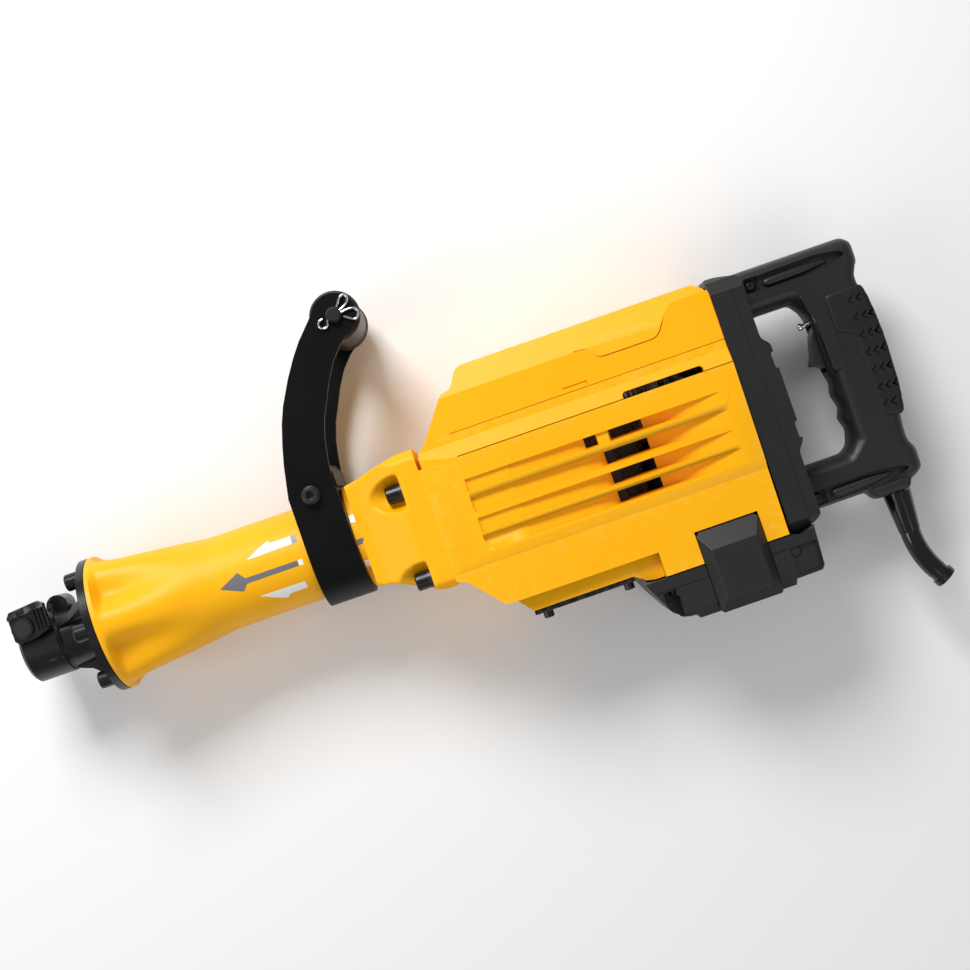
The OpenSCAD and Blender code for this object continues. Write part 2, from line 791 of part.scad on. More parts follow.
module cylinder_sleeve() {
    color(bright_steel) difference() {
        turned_x([
            [sleeve_front_x, 0], [sleeve_front_x, sleeve_r], [case_x + 5.5, sleeve_r],
            [case_x + 5.5, spigot_r], [sleeve_rear_x, spigot_r], [sleeve_rear_x, 0]
        ]);
        along_x(sleeve_front_x - 1, sleeve_rear_x + 1, cylinder_bore_r);
    }
}

module piston() {
    r = cylinder_bore_r - running_gap;
    skirt_bore_r = r - 4;
    crown_x = 255;
    color("#8f9295") difference() {
        turned_x([
            [crown_x, 0], [crown_x, r - 1], [crown_x + 1, r], [crown_x + 7, r],
            [crown_x + 7, r - 3], [crown_x + 11, r - 3], [crown_x + 11, r], [345, r], [345, 0]
        ]);
        along_x(278, 346, skirt_bore_r);
        along_y(-32, 32, 6, wrist_x);
    }
}

// The wrist pin is open at its middle, where the rod's small eye passes
module wrist_pin_stubs() {
    color(bright_steel) intersection() {
        union() for (side = [-1, 1]) along_y(side * 20.5 - 8, side * 20.5 + 8, 6, wrist_x);
        along_x(wrist_x - 10, wrist_x + 10, cylinder_bore_r - 1.5);
    }
}

module damper_ring() {
    color(soft_black) difference() {
        along_x(146.5, sleeve_front_x, sleeve_r - 0.5);
        along_x(145, sleeve_front_x + 1, 18.5);
    }
}

module hammer_holder() {
    color(dark_steel) difference() {
        turned_x([
            [71, 0], [71, 30], [73, sleeve_r], [146.5, sleeve_r], [146.5, 0]
        ]);
        along_x(70, 101, nose_r + running_gap);
        along_x(100, 147, 24 + running_gap);
    }
}

// The striker is thrown by the air in front of the piston
module striker() {
    r = cylinder_bore_r - running_gap;
    color(bright_steel) difference() {
        turned_x([
            [180, 0], [180, 14], [181.5, 15.5], [194, 15.5], [198, r], [224, r], [224, r - 3],
            [228, r - 3], [228, r], [239, r], [240, r - 1], [240, 0]
        ]);
        along_x(205, 241, 14);
    }
}

// It carries the striker's blow to the chisel in the socket
module impact_bolt() {
    flange = 24;
    color(bright_steel) turned_x([
        [62, 0], [62, nose_r - 2], [64, nose_r], [116, nose_r], [120, flange - 1], [121, flange],
        [132, flange], [133, flange - 1], [134.4, 18], [163, 18], [165, 16], [165, 0]
    ]);
}

// ---- Rear plate and rear handle ----

module rear_screw_notches()
    both_flanks() for (p = rear_screw_places)
        block(619, 629, p[0] - 6.5, p[0] + 6.5, p[1] - 6.5, 60);

module rear_plate() {
    outer = [
        [596, 100], [606, 99.5], [622, 95], [622, 43], [628, 38], [628, -41], [622, -48],
        [622, -99], [616, -103.5], [603, -107], [600, -106], [596.2, -104.5]
    ];
    inner = [
        [595, 92], [606, 92], [616, 88], [616, 42], [618, 36], [618, -38], [616, -46],
        [616, -98], [595, -98]
    ];
    half = 55.5;
    color(moulded_grey) difference() {
        intersection() {
            slab(outer, -half, half);
            section_x(mirrored([[-107, 46], [-98, half], [86, half], [96, 50], [100, 44]]), 596, 628);
        }
        slab(inner, -(half - 5), half - 5);
        rear_screw_notches();
        both_flanks() for (p = rear_screw_places) along_x(600, 620, 3.1, p[0], p[1]);
        block(615, 629, -60, 60, -8, 8);
    }
}

module rear_plate_screws() {
    color(bright_steel) both_flanks() for (p = rear_screw_places) translate([0, p[0], p[1]])
        difference() {
            union() {
                turned_x([[619, 0], [619, 5], [623, 5], [624.5, 3.5], [624.5, 0]]);
                along_x(600, 620, 3);
            }
            block(623, 625, -0.6, 0.6, -4, 4);
            block(623, 625, -4, 4, -0.6, 0.6);
        }
}

// Two screws stand in the bars' channels, and the rubber cover hides the other two
module handle_screw_holes()
    for (p = handle_screw_places) {
        along_z(-15, handle_half, handle_screw_r + 0.1, p[0], p[1]);
        along_z(handle_screw_seat_z, handle_half + 1, 5, p[0], p[1]);
    }

// Space that the rubber cover fills, round the back of the grip
module grip_region(half, back_inset)
    intersection() {
        slab([
            [686, 61], [686, 27], [695, 27], [700, 21], [700, -40], [703, -46], [709, -48],
            [730, -48], [730, 61]
        ], -half, half);
        translate([-back_inset, 0, 0]) slab(handle_outline, -half, half);
    }

module handle_half() {
    half = handle_half;
    grip_core = half - 3;
    difference() {
        slab(handle_outline, 0, half);
        difference() {
            grip_region(half + 1, -3);
            grip_region(grip_core, 3);
        }
        block(672.5, 690, 2, 41.5, -1, 8.6);
        block(660, 673, 4, 41, -1, 8.6);
        block(690, 713, -16, 46, -1, 11.6);
        along_y(-92, -15, 5, 698);
        block(676, 714, -92, -68, -1, 14);
        block(628, 700, 70, 92, -1, 10);
        along_x(660, 691, running_gap + 2, lock_y);
        along_y(-108, -97.9, 8.05, guard_x);
        along_y(-98, -92, 12.05, guard_x);
        along_z(-1, 13, 2.05, trigger_pivot[0], trigger_pivot[1]);
        for (y = [79, -96]) block(633, 706, y, y + 12, half - 5, half + 1);
        handle_screw_holes();
    }
}

module handle_near() color(moulded_grey) handle_half();

module handle_far() color(moulded_grey) mirror([0, 0, 1]) handle_half();

module grip_cover()
    color(soft_black) difference() {
        grip_region(handle_half + 1.5, 0);
        grip_region(handle_half - 3, 3);
    }

module handle_screws() {
    head_z = handle_screw_seat_z;
    head = [[0, 0], [4.5, 0], [4.5, 2], [3, 3.5], [0, 3.5]];
    color(dark_steel) for (p = handle_screw_places) translate([p[0], p[1], 0]) difference() {
        union() {
            translate([0, 0, head_z]) rotate_extrude() polygon(head);
            along_z(-14, head_z + 0.5, handle_screw_r);
        }
        block(-3, 3, -0.5, 0.5, head_z + 2.2, head_z + 4);
        block(-0.5, 0.5, -3, 3, head_z + 2.2, head_z + 4);
    }
}

module switch_body() {
    color("#4a4d52") union() {
        block(691, 712, -14, 45, -11, 11);
        for (y = [-8, 6, 20]) block(692, 711, y, y + 5, -11.5, 11.5);
    }
}

module trigger_pin()
    color(bright_steel) along_z(-12.5, 12.5, 2, trigger_pivot[0], trigger_pivot[1]);

module trigger() {
    outline = [
        [681, 40], [674.5, 40], [672.4, 36], [670.5, 33], [668.6, 26], [667, 19], [665, 14.5],
        [663, 11], [665, 9.3], [668, 9], [673, 5.5], [683, 8], [685, 14], [684.5, 30], [683, 38]
    ];
    color(moulded_grey) difference() {
        slab(outline, -8, 8);
        along_z(-9, 9, 2 + running_gap, trigger_pivot[0], trigger_pivot[1]);
        block(675, 682, 12, 27, -6, 6);
    }
}

module lock_button()
    color(bright_steel) translate([0, lock_y, 0]) turned_x([
        [664, 0], [664, 2.4], [664.6, 3], [666.8, 3], [667.4, 2], [685.5, 2], [685.5, 0]
    ]);

// Tapered rubber guard that leads the cord out of the handle, with a bead at its mouth
module cord_guard() {
    mouth_length = 10;
    bend_x = guard_x + guard_bend_r;
    module bend(r) translate([bend_x, guard_bend_y, 0]) rotate([0, 0, 180])
        rotate_extrude(angle = guard_turn) translate([guard_bend_r, 0]) circle(r = r);
    module mouth(from, to, r)
        translate([bend_x, guard_bend_y, 0]) rotate([0, 0, 180 + guard_turn])
            translate([guard_bend_r, 0, 0]) along_y(from, to, r);
    color(soft_black) difference() {
        union() {
            along_y(-98, -92.5, 12, guard_x);
            along_y(-107.5, -97, 8, guard_x);
            translate([guard_x, guard_bend_y, 0]) rotate([-90, 0, 0])
                cylinder(h = -107 - guard_bend_y, r1 = 8.5, r2 = 11.4);
            bend(8.1);
            mouth(-0.5, mouth_length, 7.8);
            mouth(mouth_length - 4.5, mouth_length, 9.4);
        }
        along_y(guard_bend_y - 0.5, -90, cord_bore_r, guard_x);
        bend(cord_bore_r - 0.3);
        mouth(-0.5, mouth_length + 1, cord_bore_r);
    }
}

module cord_clamp() {
    color(moulded_grey) difference() {
        block(guard_x - 14, guard_x + 14, -88, -80, 5.5, 13);
        for (side = [-1, 1]) along_z(5, 14, 1.8, guard_x + side * 10, -84);
    }
}

// ---- Side handle ----

// Both arms and the band under the barrel are one bent steel strap
module strap_arm_outline() {
    polygon([
        [strap_x[0], -1], [strap_x[0], 45], [242, 55], [245, 70], [249, 85], [254, 101],
        [259.5, 114], [269.5, 132], [279, 146.5], [287, 157], [304, 175], [330, 155],
        [316.5, 144.5], [307.5, 134.5], [299.5, 121.5], [293, 108], [287, 96], [282, 81],
        [279, 65.5], [strap_x[1], 55], [strap_x[1], -1]
    ]);
    translate(roller_place) circle(r = 17.5);
}

module side_handle_strap() {
    color(cast_black) difference() {
        union() {
            intersection() {
                along_x(strap_x[0], strap_x[1], strap_outer_r);
                block(strap_x[0] - 1, strap_x[1] + 1, -strap_outer_r - 1, 0, -50, 50);
            }
            both_flanks() translate([0, 0, strap_inner_r]) linear_extrude(strap_t)
                strap_arm_outline();
        }
        along_x(strap_x[0] - 1, strap_x[1] + 1, strap_inner_r);
        along_z(-60, 60, clamp_screw_r + 0.1, clamp_screw_place[0], clamp_screw_place[1]);
        along_z(-60, 60, roller_pin_r, roller_place[0], roller_place[1]);
    }
}

module strap_liner() {
    color(soft_black) difference() {
        along_x(strap_x[0] + 1, strap_x[1] - 1, strap_inner_r - 0.02);
        along_x(strap_x[0] - 1, strap_x[1] + 1, barrel_r + running_gap);
        block(strap_x[0] - 1, strap_x[1] + 1, 9, 50, -50, 50);
    }
}

module clamp_saddle() {
    half = strap_inner_r - 0.1;
    color(dark_steel) difference() {
        slab([
            [strap_x[0] + 2, 12], [strap_x[0] + 2, 54], [strap_x[0] + 5, 61],
            [strap_x[0] + 11, 64], [strap_x[1] - 9, 64], [strap_x[1] - 2, 61],
            [strap_x[1] + 1, 54], [strap_x[1] + 1, 43], [strap_x[1] - 1, 42], [strap_x[1] - 1, 12]
        ], -half, half);
        along_x(strap_x[0] - 1, strap_x[1] + 3, barrel_r + running_gap);
        along_z(-50, 50, clamp_screw_r + 0.1, clamp_screw_place[0], clamp_screw_place[1]);
        block(strap_x[0] + 6, strap_x[1] - 4, 48, 66, -half + 4, half - 4);
    }
}

module clamp_screw() {
    head_z = strap_outer_r;
    color(cast_black) translate(clamp_screw_place) difference() {
        union() {
            translate([0, 0, head_z]) rotate_extrude()
                polygon([[0, 0], [7.3, 0], [7.3, 1.5], [6.6, 1.6], [6.6, 6.5], [5.6, 7.5], [0, 7.5]]);
            along_z(-head_z - 9, head_z + 1, clamp_screw_r);
        }
        translate([0, 0, head_z + 3]) cylinder(h = 6, r = 3.4, $fn = 6);
    }
}

module clamp_nut() {
    color(cast_black) translate(clamp_screw_place) difference() {
        translate([0, 0, -strap_outer_r - 6.5]) cylinder(h = 6.5, r = 7.4, $fn = 6);
        along_z(-60, 0, clamp_screw_r);
    }
}

module roller_pin() {
    end_z = strap_outer_r + 6.5;
    color(dark_steel) difference() {
        translate(roller_place) rotate_extrude() polygon([
            [0, -end_z], [roller_pin_r - 1.5, -end_z], [roller_pin_r, -end_z + 1.5],
            [roller_pin_r, end_z - 1.5], [roller_pin_r - 1.5, end_z], [0, end_z]
        ]);
        both_flanks() split_pin_legs(1.1);
    }
}

module split_pin_legs(r)
    translate([roller_place[0], roller_place[1], split_pin_z]) rotate([0, 0, 15])
        along_x(-7.5, 8, r);

// Bent wire pins that lock the roller's pin behind each arm: an eye and two spread legs
module split_pins() {
    wire_r = 1;
    color(bright_steel) both_flanks() {
        split_pin_legs(wire_r);
        translate([roller_place[0], roller_place[1], split_pin_z]) rotate([0, 0, 15]) {
            for (turn = [25, -25]) translate([8, 0, 0]) rotate([0, 0, turn])
                block(-1, 12, -0.8, 0.8, -0.8, 0.8);
            translate([-11, 0, 0]) difference() {
                cylinder(h = 1.8, r = 4.5, center = true);
                cylinder(h = 3, r = 2.7, center = true);
            }
        }
    }
}

module roller_grip() {
    half = strap_inner_r - 0.8;
    groove = 1.2;
    color(soft_black) translate(roller_place) rotate_extrude() polygon([
        [roller_pin_r + running_gap, -half], [roller_r - 1.5, -half], [roller_r, -half + 1.5],
        [roller_r, -half + 8], [roller_r - groove, -half + 9], [roller_r - groove, half - 9],
        [roller_r, half - 8], [roller_r, half - 1.5], [roller_r - 1.5, half],
        [roller_pin_r + running_gap, half]
    ]);
}

cylinder_case();
front_cover();
front_gasket();
front_cover_screws();
case_bolts();
case_bolt_washers();
main_housing();
crank_case();
gear_cover();
top_cover();
bottom_plate();
bottom_gasket();
bottom_plate_bolts();
tail_cover();
tail_cover_screws();
brush_cover_near();
brush_cover_far();
rear_plate();
rear_plate_screws();
handle_near();
handle_far();
grip_cover();
handle_screws();
switch_body();
trigger_pin();
cord_guard();
cord_clamp();
stator_core();
stator_windings();
brush_holders();
carbon_brushes();
ball_bearings();
cylinder_sleeve();
hammer_holder();
damper_ring();
impact_bolt();
striker();
retainer_pin();
retainer_lever();
side_handle_strap();
strap_liner();
clamp_saddle();
clamp_screw();
clamp_nut();
roller_pin();
split_pins();
roller_grip();
trigger();
lock_button();
armature_shaft();
armature_core();
commutator();
cooling_fan();
idler_gear();
idler_shaft();
crank_gear();
crankshaft();
con_rod();
piston();
wrist_pin_stubs();
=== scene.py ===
"""Demolition hammer: refined shells, finishes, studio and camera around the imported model."""

import logging
import math
from dataclasses import dataclass
from enum import Enum
from typing import Callable, Optional, Sequence

import bpy
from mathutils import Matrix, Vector


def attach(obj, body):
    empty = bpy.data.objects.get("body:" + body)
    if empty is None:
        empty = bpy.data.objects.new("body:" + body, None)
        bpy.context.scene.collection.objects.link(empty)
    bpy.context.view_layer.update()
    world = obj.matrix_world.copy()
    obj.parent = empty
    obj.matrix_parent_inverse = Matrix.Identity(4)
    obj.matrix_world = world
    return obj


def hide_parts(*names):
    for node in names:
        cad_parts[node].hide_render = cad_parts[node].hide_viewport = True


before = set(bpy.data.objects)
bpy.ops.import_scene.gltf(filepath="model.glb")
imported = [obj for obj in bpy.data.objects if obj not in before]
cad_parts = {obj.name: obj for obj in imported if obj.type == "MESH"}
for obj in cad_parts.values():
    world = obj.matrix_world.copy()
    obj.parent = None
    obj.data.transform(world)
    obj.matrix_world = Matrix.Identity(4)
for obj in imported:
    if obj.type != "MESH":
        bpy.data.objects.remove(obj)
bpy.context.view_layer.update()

log = logging.getLogger("hammer")
MM = 0.001

ORIGIN = Vector((0.0, 0.0, 0.0))
X_AXIS = Vector((1.0, 0.0, 0.0))
Y_AXIS = Vector((0.0, 1.0, 0.0))
Z_AXIS = Vector((0.0, 0.0, 1.0))

Point2 = tuple[float, float]
Point3 = tuple[float, float, float]
Outline = Sequence[Point2]
Piece = bpy.types.Object
Socket = bpy.types.NodeSocket
Tree = bpy.types.NodeTree


# ---------------------------------------------------------------- finishes


class Grain(Enum):
    """How the fine surface of a finish is laid."""

    EVEN = "even"
    ALONG_X = "along_x"
    ALONG_Y = "along_y"
    PEBBLED = "pebbled"


@dataclass(frozen=True)
class Finish:
    """One surface finish: colour, sheen, grain, and lighter sharp edges that are partly worn
    paint, partly painted highlight.

    The grain scale counts grains in a metre, and bump is the grain's height in millimetres.
    """

    name: str
    colour: Point3
    roughness: float
    metallic: float = 0.0
    coat: float = 0.0
    grain: Grain = Grain.EVEN
    grain_scale: float = 900.0
    bump: float = 0.02
    tint_spread: float = 0.06
    roughness_spread: float = 0.08
    edge_wear_and_highlight: float = 0.0
    wear_and_highlight_colour: Point3 = (0.5, 0.5, 0.5)
    specular: float = 0.5

    def material(self) -> bpy.types.Material:
        """Builds the node material once and gives it back after that.

        Returns:
            The material that carries this finish.
        """
        found = bpy.data.materials.get(self.name)
        if found:
            return found
        made = bpy.data.materials.new(self.name)
        made.use_nodes = True
        tree = made.node_tree
        shader = tree.nodes["Principled BSDF"]
        shader.inputs["Metallic"].default_value = self.metallic
        shader.inputs["Coat Weight"].default_value = self.coat
        shader.inputs["Coat Roughness"].default_value = 0.15
        shader.inputs["Specular IOR Level"].default_value = self.specular
        place = tree.nodes.new("ShaderNodeTexCoord")
        stretch = tree.nodes.new("ShaderNodeMapping")
        stretch.inputs["Scale"].default_value = self._stretch()
        tree.links.new(place.outputs["Object"], stretch.inputs["Vector"])
        fine = self._noise(tree, stretch.outputs["Vector"], self.grain_scale, 3.0)
        broad = self._noise(tree, place.outputs["Object"], 9.0, 4.0)
        colour = self._tinted(tree, broad)
        # Lighter sharp edges: partly worn paint, partly painted highlight where edges would catch
        # the light.
        if self.edge_wear_and_highlight > 0.0:
            colour = self._edge_wear_and_highlight(tree, colour, place.outputs["Object"])
        tree.links.new(colour, shader.inputs["Base Color"])
        self._spread(tree, fine, broad, shader)
        self._raise(tree, stretch.outputs["Vector"], fine, shader)
        return made

    def _stretch(self) -> Point3:
        """Scale of the grain along X, Y and Z."""
        if self.grain is Grain.ALONG_X:
            return (0.05, 1.0, 1.0)
        if self.grain is Grain.ALONG_Y:
            return (1.0, 0.05, 1.0)
        return (1.0, 1.0, 1.0)

    @staticmethod
    def _noise(tree: Tree, vector: Socket, scale: float, detail: float) -> Socket:
        """A noise texture's strength at that scale."""
        node = tree.nodes.new("ShaderNodeTexNoise")
        node.inputs["Scale"].default_value = scale
        node.inputs["Detail"].default_value = detail
        tree.links.new(vector, node.inputs["Vector"])
        return node.outputs["Fac"]

    @staticmethod
    def _product(tree: Tree, first: Socket, second: Socket) -> Socket:
        """Two values multiplied."""
        node = tree.nodes.new("ShaderNodeMath")
        node.operation = "MULTIPLY"
        tree.links.new(first, node.inputs[0])
        tree.links.new(second, node.inputs[1])
        return node.outputs["Value"]

    @staticmethod
    def _mapped(tree: Tree, value: Socket, span: Point2, result: Point2) -> Socket:
        """A value carried over from one span to another."""
        node = tree.nodes.new("ShaderNodeMapRange")
        node.inputs["From Min"].default_value, node.inputs["From Max"].default_value = span
        node.inputs["To Min"].default_value, node.inputs["To Max"].default_value = result
        tree.links.new(value, node.inputs["Value"])
        return node.outputs["Result"]

    def _tinted(self, tree: Tree, broad: Socket) -> Socket:
        """The base colour, a little lighter and darker in broad soft patches."""
        ramp = tree.nodes.new("ShaderNodeValToRGB")
        low, high = ramp.color_ramp.elements
        low.position, high.position = 0.3, 0.7
        low.color = (*[c * (1.0 - self.tint_spread) for c in self.colour], 1.0)
        high.color = (*[min(1.0, c * (1.0 + self.tint_spread)) for c in self.colour], 1.0)
        tree.links.new(broad, ramp.inputs["Fac"])
        return ramp.outputs["Color"]

    def _edge_wear_and_highlight(self, tree: Tree, colour: Socket, vector: Socket) -> Socket:
        """Mixes a lighter colour in along the sharp edges, broken up by noise: partly worn edges,
        partly painted highlight.
        """
        geometry = tree.nodes.new("ShaderNodeNewGeometry")
        edge = self._mapped(tree, geometry.outputs["Pointiness"], (0.54, 0.62), (0.0, 1.0))
        patches = self._noise(tree, vector, 160.0, 4.0)
        breakup = self._mapped(tree, patches, (0.45, 0.7), (0.0, self.edge_wear_and_highlight))
        amount = self._product(tree, edge, breakup)
        mix = tree.nodes.new("ShaderNodeMix")
        mix.data_type = "RGBA"
        tree.links.new(amount, mix.inputs["Factor"])
        tree.links.new(colour, mix.inputs["A"])
        mix.inputs["B"].default_value = (*self.wear_and_highlight_colour, 1.0)
        return mix.outputs["Result"]

    def _spread(self, tree: Tree, fine: Socket, broad: Socket, shader: bpy.types.Node) -> None:
        """Varies the roughness with both the fine and the broad noise."""
        smoothest = max(0.02, self.roughness - self.roughness_spread)
        roughest = min(1.0, self.roughness + self.roughness_spread)
        blend = self._product(tree, fine, broad)
        span = self._mapped(tree, blend, (0.1, 0.4), (smoothest, roughest))
        tree.links.new(span, shader.inputs["Roughness"])

    def _raise(self, tree: Tree, vector: Socket, fine: Socket, shader: bpy.types.Node) -> None:
        """Gives the grain its height."""
        height = fine
        if self.grain is Grain.PEBBLED:
            cells = tree.nodes.new("ShaderNodeTexVoronoi")
            cells.inputs["Scale"].default_value = self.grain_scale
            tree.links.new(vector, cells.inputs["Vector"])
            height = cells.outputs["Distance"]
        bump = tree.nodes.new("ShaderNodeBump")
        bump.inputs["Strength"].default_value = 0.6
        bump.inputs["Distance"].default_value = self.bump * MM
        tree.links.new(height, bump.inputs["Height"])
        tree.links.new(bump.outputs["Normal"], shader.inputs["Normal"])


# The lighter yellow on the sharp edges is partly worn paint, partly painted highlight.
YELLOW = Finish(
    "yellow_powder_coat", (1.0, 0.46, 0.0), 0.45, specular=0.28, grain_scale=1400.0, bump=0.03,
    tint_spread=0.025, roughness_spread=0.06, edge_wear_and_highlight=0.25, wear_and_highlight_colour=(1.0, 0.62, 0.12),
)
# The grey on the sharp edges is partly worn paint, partly painted highlight.
BLACK_CAST = Finish(
    "black_cast_coat", (0.004, 0.004, 0.0045), 0.3, grain_scale=1100.0, bump=0.05,
    tint_spread=0.15, edge_wear_and_highlight=0.8, wear_and_highlight_colour=(0.2, 0.2, 0.2), specular=0.45,
)
STRAP_BLACK = Finish(
    "strap_satin_black", (0.0015, 0.0015, 0.0018), 0.42, grain_scale=1600.0, bump=0.012,
    tint_spread=0.1, specular=0.16,
)
MOULDED = Finish(
    "moulded_dark_plastic", (0.015, 0.015, 0.0155), 0.42, grain=Grain.PEBBLED,
    grain_scale=1100.0, bump=0.09, tint_spread=0.12, specular=0.4,
)
RUBBER = Finish(
    "grip_rubber", (0.011, 0.011, 0.0115), 0.5, grain=Grain.PEBBLED, grain_scale=1900.0,
    bump=0.03, tint_spread=0.12, specular=0.35,
)
GLOSS_RUBBER = Finish(
    "guard_rubber", (0.002, 0.002, 0.002), 0.14, coat=0.3, grain_scale=700.0, bump=0.01,
    tint_spread=0.1,
)
STEEL = Finish(
    "machined_steel", (0.5, 0.5, 0.51), 0.32, metallic=1.0, grain=Grain.ALONG_X,
    grain_scale=1500.0, bump=0.01, tint_spread=0.1,
)
DARK_STEEL = Finish(
    "oiled_steel", (0.05, 0.05, 0.052), 0.36, metallic=0.8, grain_scale=1200.0, bump=0.02,
    tint_spread=0.15,
)
CHROME = Finish(
    "bright_chrome", (0.86, 0.86, 0.87), 0.1, metallic=1.0, grain_scale=500.0, bump=0.004,
    tint_spread=0.03, roughness_spread=0.04,
)
# Near-black, far darker than cast aluminium: painted shade for the crank case seen through the
# louvre openings.
SHADE_DARKENED_ALUMINIUM = Finish(
    "cast_aluminium_painted_shade", (0.03, 0.03, 0.032), 0.6, metallic=0.7, grain_scale=700.0, bump=0.06,
    tint_spread=0.2,
)
COPPER = Finish(
    "varnished_copper", (0.45, 0.17, 0.08), 0.35, metallic=0.9, coat=0.4, grain=Grain.ALONG_Y,
    grain_scale=900.0, bump=0.05,
)
LAMINATION = Finish(
    "stator_lamination", (0.07, 0.07, 0.075), 0.45, metallic=0.8, grain_scale=1100.0, bump=0.04,
)
BRASS = Finish(
    "pressed_brass", (0.55, 0.38, 0.13), 0.35, metallic=1.0, grain_scale=800.0, bump=0.01
)
CARBON = Finish("brush_carbon", (0.03, 0.03, 0.032), 0.6, grain_scale=2000.0, bump=0.02)
NYLON = Finish("fan_nylon", (0.62, 0.58, 0.46), 0.5, grain_scale=800.0, bump=0.02, specular=0.4)
DECAL_WHITE = Finish(
    "decal_white", (0.9, 0.9, 0.88), 0.35, grain_scale=900.0, bump=0.01, tint_spread=0.03
)
DECAL_GREY = Finish(
    "decal_grey", (0.16, 0.16, 0.17), 0.35, grain_scale=900.0, bump=0.01, tint_spread=0.05
)


# ---------------------------------------------------------------- bench tools


def only(obj: Piece) -> None:
    """Selects one object and nothing else, and makes it the active one."""
    bpy.ops.object.select_all(action="DESELECT")
    obj.select_set(True)
    bpy.context.view_layer.objects.active = obj


def in_edit(obj: Piece, mode: str = "VERT") -> None:
    """Opens the object in edit mode with nothing selected there.

    Args:
        obj: The object to edit.
        mode: VERT, EDGE or FACE.
    """
    only(obj)
    bpy.ops.object.mode_set(mode="EDIT")
    bpy.ops.mesh.select_mode(type=mode)
    bpy.ops.mesh.select_all(action="DESELECT")


def all_in_edit(obj: Piece) -> None:
    """Opens the object in edit mode with everything selected."""
    in_edit(obj)
    bpy.ops.mesh.select_all(action="SELECT")


def in_object() -> None:
    """Goes back to object mode."""
    bpy.ops.object.mode_set(mode="OBJECT")


def put(plane: str, a: float, b: float, c: float) -> Vector:
    """A point in metres from outline coordinates a and b and depth c, in millimetres.

    Args:
        plane: XY, XZ or YZ, the two axes that a and b lie on.
        a: First outline coordinate.
        b: Second outline coordinate.
        c: Place along the remaining axis.

    Returns:
        The point in the hammer's frame.
    """
    if plane == "XY":
        return Vector((a, b, c)) * MM
    if plane == "XZ":
        return Vector((a, c, b)) * MM
    return Vector((c, a, b)) * MM


def prism(name: str, outline: Outline, low: float, high: float, plane: str = "XY") -> Piece:
    """A flat outline, filled and extruded between two depths.

    Args:
        name: Name of the new piece.
        outline: Corner points in millimetres, in order.
        low: Depth of the first face.
        high: Depth of the second face.
        plane: The plane that the outline lies in.

    Returns:
        The closed piece, with its normals outwards.
    """
    bpy.ops.object.select_all(action="DESELECT")
    bpy.ops.mesh.primitive_circle_add(vertices=len(outline), radius=1.0, fill_type="NGON")
    piece = bpy.context.object
    piece.name = piece.data.name = name
    for vertex, (a, b) in zip(piece.data.vertices, outline):
        vertex.co = put(plane, a, b, low)
    travel = put(plane, 0.0, 0.0, high) - put(plane, 0.0, 0.0, low)
    only(piece)
    bpy.ops.object.mode_set(mode="EDIT")
    bpy.ops.mesh.select_all(action="SELECT")
    bpy.ops.mesh.extrude_region_move(TRANSFORM_OT_translate={"value": travel})
    bpy.ops.mesh.select_all(action="SELECT")
    bpy.ops.mesh.normals_make_consistent(inside=False)
    in_object()
    return piece


def lofted(
    name: str, stations: Sequence[float], around: int, shape: Callable[[int, float], Vector]
) -> Piece:
    """A tube wall made by extruding one ring from station to station, then closed on itself.

    Args:
        name: Name of the new piece.
        stations: One number for each ring, only used to count and label them.
        around: Points in each ring.
        shape: Gives the point of ring i at an angle in radians, in metres.

    Returns:
        The piece, whose last ring is joined to its first.
    """
    bpy.ops.object.select_all(action="DESELECT")
    bpy.ops.mesh.primitive_circle_add(vertices=around, radius=1.0, fill_type="NOTHING")
    piece = bpy.context.object
    piece.name = piece.data.name = name
    only(piece)
    bpy.ops.object.mode_set(mode="EDIT")
    bpy.ops.mesh.select_mode(type="EDGE")
    bpy.ops.mesh.select_all(action="SELECT")
    for _ in stations[1:]:
        bpy.ops.mesh.extrude_region_move(TRANSFORM_OT_translate={"value": (0.0, 0.0, 1.0)})
    in_object()
    for vertex in piece.data.vertices:
        ring = round(vertex.co.z)
        vertex.co = shape(ring, math.atan2(vertex.co.y, vertex.co.x))
    all_in_edit(piece)
    bpy.ops.mesh.remove_doubles(threshold=0.01 * MM)
    bpy.ops.mesh.normals_make_consistent(inside=False)
    in_object()
    return piece


def turned(name: str, profile: Outline, start: Vector, axis: Vector, around: int) -> Piece:
    """A solid turned round an axis, from points (distance along it, radius).

    Args:
        name: Name of the new piece.
        profile: Points in millimetres from one end to the other, closed by the axis.
        start: The axis's zero point, in millimetres.
        axis: Its direction.
        around: Number of steps round the axis.

    Returns:
        The turned piece.
    """
    forward = axis.normalized()
    side = forward.orthogonal().normalized()
    up = forward.cross(side)
    points = [(profile[0][0], 0.0), *profile, (profile[-1][0], 0.0)]

    def shape(ring: int, angle: float) -> Vector:
        """The point of one turned ring."""
        along, radius = points[ring]
        across = side * math.cos(angle) + up * math.sin(angle)
        return (start + forward * along + across * max(radius, 0.0)) * MM

    return lofted(name, range(len(points)), around, shape)


def bevel_edges(
    obj: Piece, wanted: Callable[[Vector, Vector], bool], width: float, segments: int
) -> None:
    """Rounds the wanted edges.

    Args:
        obj: The piece.
        wanted: Test on an edge's middle in millimetres and its direction.
        width: Bevel width in millimetres.
        segments: Steps across the round.
    """
    in_edit(obj, "EDGE")
    in_object()
    vertices = obj.data.vertices
    for edge in obj.data.edges:
        first, second = (vertices[i].co / MM for i in edge.vertices)
        span = second - first
        if span.length > 0.0:
            edge.select = wanted((first + second) / 2, span.normalized())
    bpy.ops.object.mode_set(mode="EDIT")
    bpy.ops.mesh.bevel(offset=width * MM, segments=segments, affect="EDGES", profile=0.5)
    in_object()


